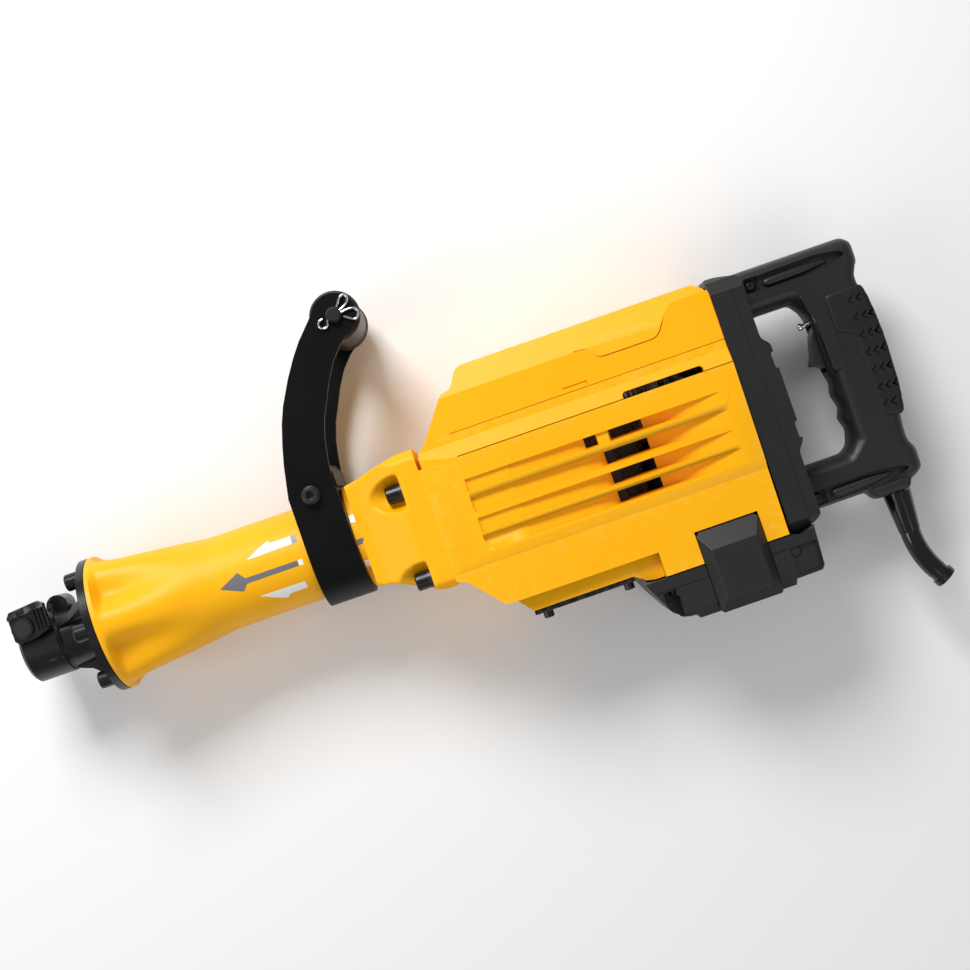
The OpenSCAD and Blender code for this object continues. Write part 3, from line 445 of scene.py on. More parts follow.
def bevel_sharp(obj: Piece, width: float, segments: int = 2, angle: float = 30.0) -> None:
    """Rounds every edge that is sharper than an angle, with an applied modifier.

    Args:
        obj: The piece.
        width: Bevel width in millimetres.
        segments: Steps across the round.
        angle: Smallest angle, in degrees, that counts as sharp.
    """
    only(obj)
    bevel = obj.modifiers.new("edge_round", "BEVEL")
    bevel.width = width * MM
    bevel.segments = segments
    bevel.limit_method = "ANGLE"
    bevel.angle_limit = math.radians(angle)
    bevel.miter_outer = "MITER_ARC"
    bpy.ops.object.modifier_apply(modifier=bevel.name)


def combine(obj: Piece, tool: Piece, operation: str = "DIFFERENCE") -> None:
    """Cuts the tool from the piece, or joins it on, and removes the tool.

    Args:
        obj: The piece that stays.
        tool: The piece that is used up.
        operation: DIFFERENCE, UNION or INTERSECT.
    """
    only(obj)
    step = obj.modifiers.new("combine", "BOOLEAN")
    step.operation = operation
    step.solver = "EXACT"
    step.object = tool
    bpy.ops.object.modifier_apply(modifier=step.name)
    bpy.data.objects.remove(tool)


def join(parts: Sequence[Piece]) -> Piece:
    """Joins separate pieces into the first one's object.

    Args:
        parts: The pieces, the first of which keeps its name.

    Returns:
        The first piece.
    """
    bpy.ops.object.select_all(action="DESELECT")
    for part in parts:
        part.select_set(True)
    bpy.context.view_layer.objects.active = parts[0]
    bpy.ops.object.join()
    return parts[0]


def tidy_faces(obj: Piece, smooth_angle: float = 35.0) -> None:
    """Merges doubles and shades the piece smooth below an angle, weighing its normals."""
    all_in_edit(obj)
    bpy.ops.mesh.remove_doubles(threshold=0.002 * MM)
    bpy.ops.mesh.dissolve_degenerate(threshold=0.002 * MM)
    in_object()
    only(obj)
    bpy.ops.object.shade_smooth_by_angle(angle=math.radians(smooth_angle))
    weigh = obj.modifiers.new("weighted_normals", "WEIGHTED_NORMAL")
    weigh.keep_sharp = True
    bpy.ops.object.modifier_apply(modifier=weigh.name)


def dress(
    piece: Piece,
    finish: Finish,
    body: str,
    nodes: Sequence[str] = (),
    slot: Optional[str] = None,
) -> None:
    """Gives a new piece its finish, its body and what it stands for.

    Args:
        piece: The finished mesh.
        finish: Its surface.
        body: The CAD body that it moves with.
        nodes: CAD nodes that it replaces.
        slot: The record's material slot; not used.
    """
    piece.data.materials.clear()
    piece.data.materials.append(finish.material())
    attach(piece, body)
    if nodes:
        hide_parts(*nodes)
    log.info("piece %s: %d faces on %s", piece.name, len(piece.data.polygons), body)


def copy_of(node: str, name: str) -> Piece:
    """A merged copy of a CAD node's mesh, with its flat faces whole again.

    Args:
        node: The CAD node.
        name: Name of the new piece.

    Returns:
        The copy, free of the CAD node's parent.
    """
    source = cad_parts[node]
    copy = bpy.data.objects.new(name, source.data.copy())
    bpy.context.scene.collection.objects.link(copy)
    all_in_edit(copy)
    bpy.ops.mesh.remove_doubles(threshold=0.004 * MM)
    bpy.ops.mesh.dissolve_limited(angle_limit=math.radians(0.4))
    in_object()
    return copy


def softened(node: str, finish: Finish, body: str, slot: str, width: float) -> None:
    """Stands in for a CAD node with a copy whose edges are rounded.

    Args:
        node: The CAD node.
        finish: Its surface.
        body: The CAD body that it moves with.
        slot: The record's material slot.
        width: Edge rounding in millimetres.
    """
    piece = copy_of(node, f"{node}_finished")
    bevel_sharp(piece, width)
    tidy_faces(piece)
    dress(piece, finish, body, (node,), slot)


def paint(node: str, finish: Finish) -> None:
    """Gives a CAD node that stays as it is its finish."""
    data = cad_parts[node].data
    data.materials.clear()
    data.materials.append(finish.material())


def rounded(outline: Outline, radius: float, steps: int = 5) -> list[Point2]:
    """An outline with its corners drawn as short smooth curves.

    Args:
        outline: Corner points in order.
        radius: Distance from each corner at which its curve starts.
        steps: Points on each curve.

    Returns:
        The points of the smooth outline.
    """
    points: list[Point2] = []
    count = len(outline)
    for i, corner in enumerate(outline):
        before, after = Vector(outline[i - 1]), Vector(outline[(i + 1) % count])
        here = Vector(corner)
        start = here + (before - here).normalized() * min(radius, 0.45 * (before - here).length)
        end = here + (after - here).normalized() * min(radius, 0.45 * (after - here).length)
        for step in range(steps + 1):
            t = step / steps
            point = start * (1 - t) ** 2 + here * (2 * t * (1 - t)) + end * t**2
            points.append((point.x, point.y))
    return points


def moulded(obj: Piece, voxel: float, passes: int) -> None:
    """Turns a blocked-out piece into an even skin and smooths it to moulded rounds.

    Args:
        obj: The piece.
        voxel: Size of the skin's cells in millimetres.
        passes: Smoothing passes, which set how wide the rounds are.
    """
    only(obj)
    skin = obj.modifiers.new("even_skin", "REMESH")
    skin.mode = "VOXEL"
    skin.voxel_size = voxel * MM
    bpy.ops.object.modifier_apply(modifier=skin.name)
    smooth = obj.modifiers.new("rounds", "SMOOTH")
    smooth.factor = 0.5
    smooth.iterations = passes
    bpy.ops.object.modifier_apply(modifier=smooth.name)


def wire(name: str, points: Sequence[Vector], radius: float) -> Piece:
    """A round wire along a smooth path.

    Args:
        name: Name of the new piece.
        points: Places that pull the path, in millimetres.
        radius: Radius of the wire in millimetres.

    Returns:
        The wire as a closed mesh.
    """
    bpy.ops.object.select_all(action="DESELECT")
    bpy.ops.curve.primitive_nurbs_path_add()
    path = bpy.context.object
    path.name = path.data.name = name
    path.data.splines.clear()
    spline = path.data.splines.new("NURBS")
    spline.points.add(len(points) - 1)
    for knot, place in zip(spline.points, points):
        knot.co = (*(place * MM), 1.0)
    spline.order_u = 3
    spline.use_endpoint_u = True
    spline.resolution_u = 5
    path.data.dimensions = "3D"
    path.data.bevel_depth = radius * MM
    path.data.bevel_resolution = 4
    path.data.use_fill_caps = True
    only(path)
    bpy.ops.object.convert(target="MESH")
    return bpy.context.object


def both_sides(piece: Piece) -> Piece:
    """Adds a copy mirrored across the XY plane to a piece.

    Args:
        piece: The piece on the near side.

    Returns:
        The piece, which now holds both sides.
    """
    only(piece)
    step = piece.modifiers.new("far_side", "MIRROR")
    step.use_axis = (False, False, True)
    step.use_mirror_merge = False
    bpy.ops.object.modifier_apply(modifier=step.name)
    return piece


def mirrored(outline: Outline) -> list[Point2]:
    """An outline's upper half, closed by its mirror image below the first axis."""
    return [*outline, *[(a, -b) for a, b in reversed(outline)]]


def block(name: str, x: Point2, y: Point2, z: Point2) -> Piece:
    """A rectangular tool between two places on each axis, in millimetres."""
    corners = [(x[0], y[0]), (x[1], y[0]), (x[1], y[1]), (x[0], y[1])]
    return prism(name, corners, z[0], z[1])


# ---------------------------------------------------------------- housing


@dataclass
class MainHousing:
    """The yellow case, whose flanks have four sunk louvre rows each."""

    half: float = 58.0
    rows: tuple[Point2, ...] = ((5.0, 15.0), (-12.0, 0.0), (-28.0, -16.0), (-43.0, -31.5))
    slat_lean: float = 2.2
    floor_z: float = 43.5
    ends: Point2 = (373.0, 582.0)

    def row_floor(self, has_post: bool) -> list[Point2]:
        """Plan of one row's floor in X and Z, open towards the flank.

        Args:
            has_post: Whether a rib stands across the opening.

        Returns:
            The closed plan.
        """
        start, end = self.ends
        deep = self.floor_z - 4.0
        left = [(start, 60.0), (start, 55.6), (408.0, 55.6), (408.4, 54.9), (462.0, 53.4)]
        if has_post:
            hole = [
                (469.0, 51.5), (469.0, deep), (479.0, deep), (479.0, 56.0), (488.0, 56.0),
                (489.5, 51.0), (489.5, deep), (506.0, deep),
            ]
        else:
            hole = [(476.0, 51.5), (481.0, 48.0), (481.0, deep), (508.0, deep)]
        right = [(508.5, 41.0), (526.0, 46.5), (550.0, 53.4), (end, 58.3), (end, 60.0)]
        return [*left, *hole, *right]

    def row_cutter(self, index: int) -> Piece:
        """The tool for one louvre row, wider at the surface so that the slat below leans."""
        low, high = self.rows[index]
        tool = prism("row_tool", self.row_floor(index == 0), low, high, "XZ")
        for vertex in tool.data.vertices:
            place = vertex.co / MM
            if place.y < low + 0.01:
                vertex.co.y += self.slat_lean * MM * (60.0 - place.z) / 12.0
        return tool

    def build(self) -> None:
        """Cuts the louvres in the case's shell and rounds its edges."""
        shell = copy_of("main_housing", "main_housing_shell")
        for row in self.rows:
            combine(shell, both_sides(block("filler", (372.0, 581.0), row, (53.0, 58.0))), "UNION")
        thick = block("duct_wall", (455.0, 552.0), (-45.5, 17.0), (self.floor_z, 53.5))
        combine(shell, both_sides(thick), "UNION")
        for index in range(len(self.rows)):
            combine(shell, both_sides(self.row_cutter(index)))
        corner = prism(
            "corner", [(372.0, -44.0), (383.0, -44.0), (373.0, -34.5), (372.0, -34.5)], 55.6, 58.0
        )
        combine(shell, both_sides(corner), "UNION")
        bevel_sharp(shell, 0.7, 3, 28.0)
        tidy_faces(shell)
        dress(shell, YELLOW, "hammer", ("main_housing",), "yellow_paint")


@dataclass
class GearCover:
    """The sloped band between the case and the top cover, with its long slot."""

    foot_y: float = 33.3
    top_y: float = 51.7
    seam_floor: float = 53.6

    def build(self) -> None:
        """Rounds the cover and its slot."""
        cover = copy_of("gear_cover", "gear_cover_shell")
        for y in (self.foot_y, self.top_y):
            combine(cover, both_sides(block("seam", (374.0, 600.0), (y - 0.35, y + 0.35),
                                            (self.seam_floor, 62.0))))
        bevel_sharp(cover, 0.5, 3, 12.0)
        tidy_faces(cover, 20.0)
        dress(cover, YELLOW, "hammer", ("gear_cover",), "yellow_paint")


@dataclass
class TopCover:
    """The upper cover, with a stepped relief that dips behind the tab."""

    half: float = 54.5
    base_y: float = 52.0
    groove_floor: float = 49.6
    outline: Outline = (
        (354.0, 52.0), (377.0, 83.0), (385.0, 84.0), (393.0, 97.5), (398.0, 100.0),
        (587.0, 100.0), (594.0, 95.0), (596.0, 90.0), (596.0, 52.0),
    )
    relief: Outline = (
        (370.0, 79.5), (488.0, 79.5), (494.0, 78.5), (498.0, 72.0), (503.0, 69.0),
        (546.0, 69.0), (551.0, 72.0), (563.0, 90.0), (567.0, 91.5), (600.0, 91.5),
        (600.0, 104.0), (370.0, 104.0),
    )
    plan: Outline = (
        (353.0, 0.0), (353.0, 54.0), (356.0, 54.5), (600.0, 54.5), (600.0, -54.5),
        (356.0, -54.5), (353.0, -54.0),
    )
    hollow_half: float = 40.0
    hollow: Outline = (
        (360.0, 50.0), (381.0, 78.5), (396.0, 93.0), (583.0, 93.0), (591.0, 86.0), (591.0, 50.0),
    )
    tab_marks: tuple[tuple[Point2, Point2], ...] = (
        ((467.0, 486.0), (55.4, 56.4)), ((485.0, 486.0), (51.0, 56.4)),
    )

    def soft_outline(self) -> list[Point2]:
        """The outline with its upper corners rounded and its foot left square."""
        return [p for p in rounded(self.outline, 3.0, 4) if p[1] > self.base_y + 3.5] + [
            (596.0, self.base_y), (354.0, self.base_y)
        ]

    def relief_groove(self) -> Piece:
        """The fine groove along the foot of the near side's relief."""
        path = [(x, y) for x, y in rounded(self.relief, 4.0, 4) if 375.0 < x < 595.0 and y < 92.0]
        band = [*path, *[(x - 0.4, y + 0.9) for x, y in reversed(path)]]
        return prism("relief_groove", band, self.groove_floor, 60.0)

    def slope(self, y: float) -> float:
        """Half-width of the relief's floor at height y."""
        if y < 80.0:
            return 52.6 - 1.6 * (y - 69.0) / 11.0
        return 51.0 - 9.0 * (y - 80.0) / 20.0

    def relief_tool(self) -> Piece:
        """The near side's relief tool, whose floor slopes towards the top."""
        tool = prism("relief_tool", rounded(self.relief, 4.0, 4), 40.0, 60.0)
        in_edit(tool, "FACE")
        bpy.ops.mesh.select_all(action="SELECT")
        for height in (80.0, 92.0):
            bpy.ops.mesh.bisect(plane_co=(0.0, height * MM, 0.0), plane_no=(0.0, 1.0, 0.0))
            bpy.ops.mesh.select_all(action="SELECT")
        in_object()
        for vertex in tool.data.vertices:
            if vertex.co.z < 41.0 * MM:
                vertex.co.z = self.slope(vertex.co.y / MM) * MM
        return tool

    def build(self) -> None:
        """Models the shell, its relief, the tab mark and the hollow inside."""
        cover = prism("top_cover_shell", self.soft_outline(), -self.half, self.half)
        combine(cover, both_sides(self.relief_tool()))
        combine(cover, both_sides(self.relief_groove()))
        combine(cover, prism("plan_tool", self.plan, 50.0, 110.0, "XZ"), "INTERSECT")
        combine(cover, prism("hollow", self.hollow, -self.hollow_half, self.hollow_half))
        for x, y in self.tab_marks:
            combine(cover, both_sides(block("tab_mark", x, y, (53.4, 56.0))))
        bevel_sharp(cover, 0.4, 2, 16.0)
        tidy_faces(cover, 20.0)
        dress(cover, YELLOW, "hammer", ("top_cover",), "yellow_paint")


# ---------------------------------------------------------------- barrel


@dataclass
class Barrel:
    """The cylinder case: a fluted front that runs into the plain tube, and the bolted flare."""

    front: float = 68.8
    joint_x: float = 168.0
    bore: float = 34.05
    around: int = 192
    lobes: int = 6
    flute_depth: float = 10.5
    profile: Outline = (
        (68.8, 54.5), (72.0, 54.3), (74.0, 54.0), (76.0, 53.7), (78.0, 53.4), (81.0, 52.9),
        (85.0, 52.1), (90.0, 51.1), (96.0, 50.2), (102.0, 49.3), (108.0, 48.4), (114.0, 47.5),
        (120.0, 46.5), (126.0, 45.4), (132.0, 44.1), (138.0, 42.6), (144.0, 41.2), (150.0, 40.0),
        (156.0, 39.0), (162.0, 38.3), (168.0, 38.0),
    )
    bolt_rows: tuple[float, ...] = (22.0, -48.0)
    case_x: float = 342.0
    flare_side: Outline = (
        (280.0, 40.5), (290.0, 41.5), (310.0, 46.5), (328.0, 50.5), (352.0, 50.5),
        (352.0, -60.0), (330.0, -60.0), (311.0, -50.0), (296.0, -43.0), (280.0, -40.5),
    )
    flare_plan: Outline = ((280.0, 41.0), (292.0, 42.0), (322.0, 55.5), (350.0, 55.5))
    flare_section: Outline = ((-62.0, 49.0), (-54.0, 55.5), (44.0, 55.5), (52.0, 47.0))
    core_skin: Outline = ((160.0, 38.0), (277.8, 38.0), (278.0, 41.5), (290.0, 41.5))
    scoop_shape: Outline = (
        (0.0, 0.5), (4.0, 3.5), (12.0, 8.5), (22.0, 12.0), (30.0, 13.5), (38.5, 13.8),
    )

    def flute(self, x: float, angle: float) -> float:
        """Depth of the flutes at a place along and round the barrel.

        Args:
            x: Place along the barrel, in millimetres.
            angle: Angle round the axis, in radians.

        Returns:
            How far the surface is sunk, in millimetres.
        """
        rise = min(1.0, max(0.0, (x - 72.0) / 5.0))
        fade = min(1.0, max(0.0, (150.0 - x) / 62.0))
        depth = self.flute_depth * (3 * rise**2 - 2 * rise**3) * fade**1.4
        wave = 0.5 - 0.5 * math.cos(self.lobes * angle)
        return depth * wave**1.3

    def fluted_front(self) -> Piece:
        """The front of the barrel, drawn ring by ring, with the bore through it."""
        rings = [(self.front, self.bore), *self.profile, (self.joint_x, self.bore)]

        def shape(ring: int, angle: float) -> Vector:
            """A point of one barrel ring."""
            x, radius = rings[ring]
            if 0 < ring < len(rings) - 1:
                radius -= self.flute(x, angle)
            return Vector((x, radius * math.sin(angle), radius * math.cos(angle))) * MM

        front = lofted("barrel_front", range(len(rings)), self.around, shape)
        in_edit(front, "EDGE")
        bpy.ops.mesh.select_non_manifold()
        bpy.ops.mesh.bridge_edge_loops()
        bpy.ops.mesh.select_all(action="SELECT")
        bpy.ops.mesh.normals_make_consistent(inside=False)
        in_object()
        return front

    def scoop(self, y: float) -> Piece:
        """The rounded pocket in front of one case bolt, which widens towards the bolt."""
        return turned("scoop", self.scoop_shape, Vector((286.5, y, 53.0)), X_AXIS, 48)

    def flare(self) -> Piece:
        """The soft block that carries the tube to the case's bolted face."""
        rear = prism("barrel_shell", rounded(self.flare_side, 6.0, 4), -60.0, 60.0)
        plan, section = mirrored(self.flare_plan), mirrored(self.flare_section)
        combine(rear, prism("plan_tool", plan, -80.0, 80.0, "XZ"), "INTERSECT")
        combine(rear, prism("section_tool", section, 270.0, 360.0, "YZ"), "INTERSECT")
        combine(rear, turned("tube", self.core_skin, ORIGIN, X_AXIS, 128), "UNION")
        for y in self.bolt_rows:
            combine(rear, both_sides(self.scoop(y)))
        moulded(rear, 1.3, 7)
        return rear

    def build(self) -> None:
        """Models the fluted front, the tube and the flare, and joins them."""
        rear = self.flare()
        for name, x in (("rear_off", (self.case_x, 380.0)), ("front_off", (100.0, 283.0))):
            combine(rear, block(name, x, (-80.0, 80.0), (-80.0, 80.0)))
        bore = [(270.0, self.bore), (360.0, self.bore)]
        combine(rear, turned("bore", bore, ORIGIN, X_AXIS, 96))
        skin = [(self.joint_x, 38.0), (277.6, 38.0), (278.4, 41.5), (283.2, 41.5)]
        tube = turned("plain_tube", skin, ORIGIN, X_AXIS, self.around)
        core = [(self.joint_x - 1.0, self.bore), (290.0, self.bore)]
        combine(tube, turned("tube_core", core, ORIGIN, X_AXIS, 96))
        bevel_edges(tube, lambda m, d: 277.0 < m.x < 279.0 and abs(d.x) < 0.5, 0.4, 3)
        shell = join([rear, tube, self.fluted_front()])
        tidy_faces(shell, 40.0)
        dress(shell, YELLOW, "hammer", ("cylinder_case",), "yellow_paint")


@dataclass
class ArrowDecals:
    """Generic arrows on the tube's near side, pointing to the tool."""

    tube: float = 38.0
    collar: float = 41.5
    lift: float = 0.08
    grey: tuple[Outline, ...] = (
        ((166.0, -3.5), (183.0, 4.5), (187.5, -1.5), (230.0, -1.5), (230.0, -6.0),
         (187.5, -6.0), (183.0, -11.0)),
        ((230.5, 12.0), (234.5, 12.0), (234.5, 18.0), (230.5, 18.0)),
    )
    white: tuple[Outline, ...] = (
        ((193.0, 11.5), (205.0, 17.5), (212.0, 20.0), (214.5, 18.0), (230.0, 18.0),
         (230.0, 12.0)),
        ((193.0, -18.5), (230.0, -18.8), (230.0, -24.2), (216.0, -24.2), (212.5, -27.0),
         (204.0, -23.5)),
        ((230.5, -6.0), (234.0, -6.0), (234.0, -1.5), (230.5, -1.5)),
    )
    dashes_white: tuple[Outline, ...] = (
        ((278.8, 12.0), (285.5, 12.0), (285.5, 18.0), (278.8, 18.0)),
        ((278.8, -24.0), (285.5, -24.0), (285.5, -19.0), (278.8, -19.0)),
    )
    dashes_grey: tuple[Outline, ...] = (
        ((278.8, -6.0), (284.5, -6.0), (284.5, -1.5), (278.8, -1.5)),
    )

    def film(self, outline: Outline, radius: float) -> Piece:
        """A thin patch of that outline on the near side of a round surface."""
        ends = (min(p[0] for p in outline) - 1.0, max(p[0] for p in outline) + 1.0)
        skin = [(ends[0], radius + self.lift), (ends[1], radius + self.lift)]
        core = [(ends[0] - 1.0, radius - 0.4), (ends[1] + 1.0, radius - 0.4)]
        tube = turned("film_tube", skin, ORIGIN, X_AXIS, 180)
        combine(tube, turned("film_core", core, ORIGIN, X_AXIS, 180))
        combine(tube, prism("film_mask", outline, 5.0, 60.0), "INTERSECT")
        return tube

    def layer(
        self, name: str, sets: Sequence[tuple[Sequence[Outline], float]], finish: Finish, slot: str
    ) -> None:
        """Makes one colour of the marking.

        Args:
            name: Name of the piece.
            sets: Pairs of outlines and the radius that they lie on.
            finish: The print's finish.
            slot: The record's material slot.
        """
        films = [self.film(outline, radius) for outlines, radius in sets for outline in outlines]
        print_piece = join(films)
        print_piece.name = print_piece.data.name = name
        tidy_faces(print_piece)
        dress(print_piece, finish, "hammer", slot=slot)

    def build(self) -> None:
        """Prints the grey and the white marks."""
        grey_sets = ((self.grey, self.tube), (self.dashes_grey, self.collar))
        white_sets = ((self.white, self.tube), (self.dashes_white, self.collar))
        self.layer("arrow_print_grey", grey_sets, DECAL_GREY, "grey_plastic")
        self.layer("arrow_print_white", white_sets, DECAL_WHITE, "nylon")


# ---------------------------------------------------------------- rear handle


@dataclass
class RearHandle:
    """The two moulded halves of the D-handle, their channels and the trigger's slot."""

    half: float = 20.0
    button_y: float = 42.75
    outer_steps: tuple[Point2, ...] = ((0.6, 10.5), (1.6, 13.4))
    inner_steps: tuple[Point2, ...] = ((2.8, 15.4), (4.2, 17.2), (6.2, 18.9), (8.6, 20.1))
    core: Outline = (
        (600.0, 100.0), (717.0, 100.0), (724.0, 94.0), (724.0, 77.0), (719.0, 66.0),
        (721.0, 48.0), (722.0, 0.0), (718.0, -45.0), (716.0, -66.0), (720.0, -76.0),
        (720.0, -93.0), (713.0, -99.0), (600.0, -99.0), (600.0, -63.0), (664.0, -63.0),
        (673.5, -54.0), (673.5, 50.0), (663.0, 62.0), (600.0, 62.0),
    )
    outline: Outline = (
        (600.0, 100.0), (717.0, 100.0), (724.0, 94.0), (724.0, 77.0), (718.0, 71.0),
        (717.0, 62.0), (720.0, 48.0), (722.0, 25.0), (722.0, 0.0), (720.5, -28.0),
        (718.0, -45.0), (716.0, -60.0), (716.0, -70.0), (720.0, -76.0), (720.0, -93.0),
        (713.0, -99.0), (709.0, -99.0), (706.0, -107.0), (677.0, -107.0), (672.0, -99.0),
        (600.0, -99.0), (600.0, -63.0), (664.0, -63.0), (671.0, -58.0), (674.5, -46.0),
        (671.0, -36.0), (675.0, -28.0), (671.5, -16.0), (674.5, -7.0), (672.0, 2.0),
        (672.0, 50.0), (663.0, 62.0), (600.0, 62.0),
    )
    panel: Outline = (
        (675.5, 1.0), (687.0, 1.0), (688.0, 8.0), (686.5, 56.0), (680.0, 63.0), (668.0, 66.0),
        (671.0, 57.0), (674.5, 48.0),
    )
    channels: tuple[Outline, ...] = (
        ((633.0, 79.5), (633.0, 91.5), (690.0, 92.5), (708.0, 90.0), (714.0, 86.0),
         (706.0, 82.0), (690.0, 79.5)),
        ((630.0, -96.0), (630.0, -84.0), (682.0, -83.5), (700.0, -86.0), (708.0, -89.5),
         (700.0, -93.5), (684.0, -96.0)),
    )
    ribs: tuple[tuple[Point2, Point2], ...] = (
        ((645.0, 84.5), (700.0, 85.5)), ((642.0, -90.5), (694.0, -89.5)),
    )
    pockets: tuple[Point2, ...] = ((636.0, 86.0), (632.0, -90.0))

    def terrace(self, outline: Outline, inset: float, half: float) -> Piece:
        """One layer of the handle, drawn in from the outline by the inset.

        Args:
            outline: Corners of the layer, clockwise.
            inset: Distance the layer is drawn in, in millimetres.
            half: Half the layer's thickness, in millimetres.

        Returns:
            The layer as a closed prism.
        """
        drawn_in = []
        for i, corner in enumerate(outline):
            here, ahead = Vector(corner), Vector(outline[(i + 1) % len(outline)])
            arriving = (here - Vector(outline[i - 1])).normalized()
            leaving = (ahead - here).normalized()
            inward = Vector((arriving.y + leaving.y, -arriving.x - leaving.x))
            inward *= 2.0 * inset / inward.length_squared
            drawn_in.append((here.x + inward.x, here.y + inward.y))
        return prism("terrace", rounded(drawn_in, 2.5, 3), -half, half)

    def body(self) -> Piece:
        """The whole handle as one soft moulding, before it is split."""
        body = self.terrace(self.outline, 0.05, 7.0)
        for inset, half in self.outer_steps:
            combine(body, self.terrace(self.outline, inset, half), "UNION")
        for inset, half in self.inner_steps:
            combine(body, self.terrace(self.core, inset, half), "UNION")
        moulded(body, 1.25, 9)
        combine(body, block("plate_side", (590.0, 621.9), (-120.0, 120.0), (-40.0, 40.0)))
        return body

    def channel_tools(self) -> list[Piece]:
        """Tools for the channels' rims and the screws' pockets on the near side."""
        tools = []
        for outline in self.channels:
            tools.append(prism("channel", rounded(outline, 3.0, 4), self.half - 5.0, 30.0))
        for x, y in self.pockets:
            corners = [(x - 5.5, y - 6.0), (x + 6.5, y - 6.0), (x + 6.5, y + 6.0),
                       (x - 5.5, y + 6.0)]
            tools.append(prism("pocket", rounded(corners, 1.0, 3), self.half - 7.0, 30.0))
        return tools

    def build(self) -> None:
        """Models both halves, cuts their channels and splits them at the seam."""
        body = self.body()
        for tool in self.channel_tools():
            combine(body, both_sides(tool))
        for (x0, y0), (x1, y1) in self.ribs:
            run = Vector((x1 - x0, y1 - y0, 0.0))
            profile = [(0.0, 1.0), (2.0, 3.0), (5.0, 4.2), (run.length * 0.6, 4.0),
                       (run.length - 2.0, 2.0), (run.length, 0.6)]
            rib = turned("channel_rib", profile, Vector((x0, y0, self.half - 5.6)), run, 32)
            combine(body, both_sides(rib), "UNION")
        button = Vector((655.0, self.button_y, 0.0))
        combine(body, turned("button_hole", [(0.0, 3.3), (20.0, 3.3)], button, X_AXIS, 24))
        guard = Vector((696.0, -109.0, 0.0))
        combine(body, turned("guard_hole", [(0.0, 11.6), (14.0, 11.6)], guard, Y_AXIS, 40))
        panel = prism("switch_panel", rounded(self.panel, 3.0, 4), -self.half - 0.7,
                      self.half + 0.7)
        bevel_sharp(panel, 1.2, 3)
        combine(body, panel, "UNION")
        combine(body, block("trigger_slot", (655.0, 690.0), (2.0, 41.5), (-8.7, 8.7)))
        far = body.copy()
        far.data = body.data.copy()
        bpy.context.scene.collection.objects.link(far)
        combine(body, block("near_off", (600.0, 740.0), (-120.0, 110.0), (-30.0, 0.06)))
        combine(far, block("far_off", (600.0, 740.0), (-120.0, 110.0), (-0.06, 30.0)))
        for piece, name, node in ((body, "handle_near_half", "handle_near"),
                                  (far, "handle_far_half", "handle_far")):
            piece.name = piece.data.name = name
            tidy_faces(piece, 32.0)
            dress(piece, MOULDED, "hammer", (node,), "grey_plastic")


@dataclass
class GripCover:
    """The rubber sleeve round the back of the grip, with plain chevron marks."""

    half: float = 21.4
    outline: Outline = (
        (686.5, 60.0), (686.5, 27.0), (695.0, 26.5), (700.0, 21.0), (700.5, -40.0),
        (703.5, -46.0), (709.0, -48.0), (718.0, -48.0), (721.0, -28.0), (722.4, 0.0),
        (722.4, 25.0), (720.5, 48.0), (718.0, 60.0),
    )
    rows: tuple[float, ...] = (50.0, 35.5, 21.0, 6.5, -8.0, -22.5, -36.0)
    columns: tuple[tuple[float, float], ...] = ((705.5, 20.2), (712.0, 19.4), (718.0, 16.2))

    def chevron(self, x: float, y: float, floor: float) -> Piece:
        """One chevron groove that points forward and down."""
        corners = [
            (x - 3.0, y - 0.6), (x + 2.6, y + 3.2), (x + 2.6, y + 2.0), (x - 0.6, y - 0.8),
            (x + 1.8, y - 3.6), (x + 0.6, y - 3.6),
        ]
        return prism("chevron", corners, floor, floor + 9.0)

    def build(self) -> None:
        """Moulds the sleeve and presses the marks in both flanks."""
        sleeve = prism("grip_sleeve", rounded(self.outline, 4.0, 4), -self.half, self.half)
        moulded(sleeve, 1.2, 16)
        marks = [
            self.chevron(x, y, floor)
            for x, floor in self.columns for y in self.rows
            if x < 715.0 or -30.0 < y < 45.0
        ]
        combine(sleeve, both_sides(join(marks)))
        hand = [(683.0, 62.0), (683.0, -50.0), (716.0, -50.0), (716.0, 62.0)]
        combine(sleeve, prism("hand_core", hand, -17.5, 17.5))
        tidy_faces(sleeve, 32.0)
        dress(sleeve, RUBBER, "hammer", ("grip_cover",), "black_rubber")


# ---------------------------------------------------------------- side handle


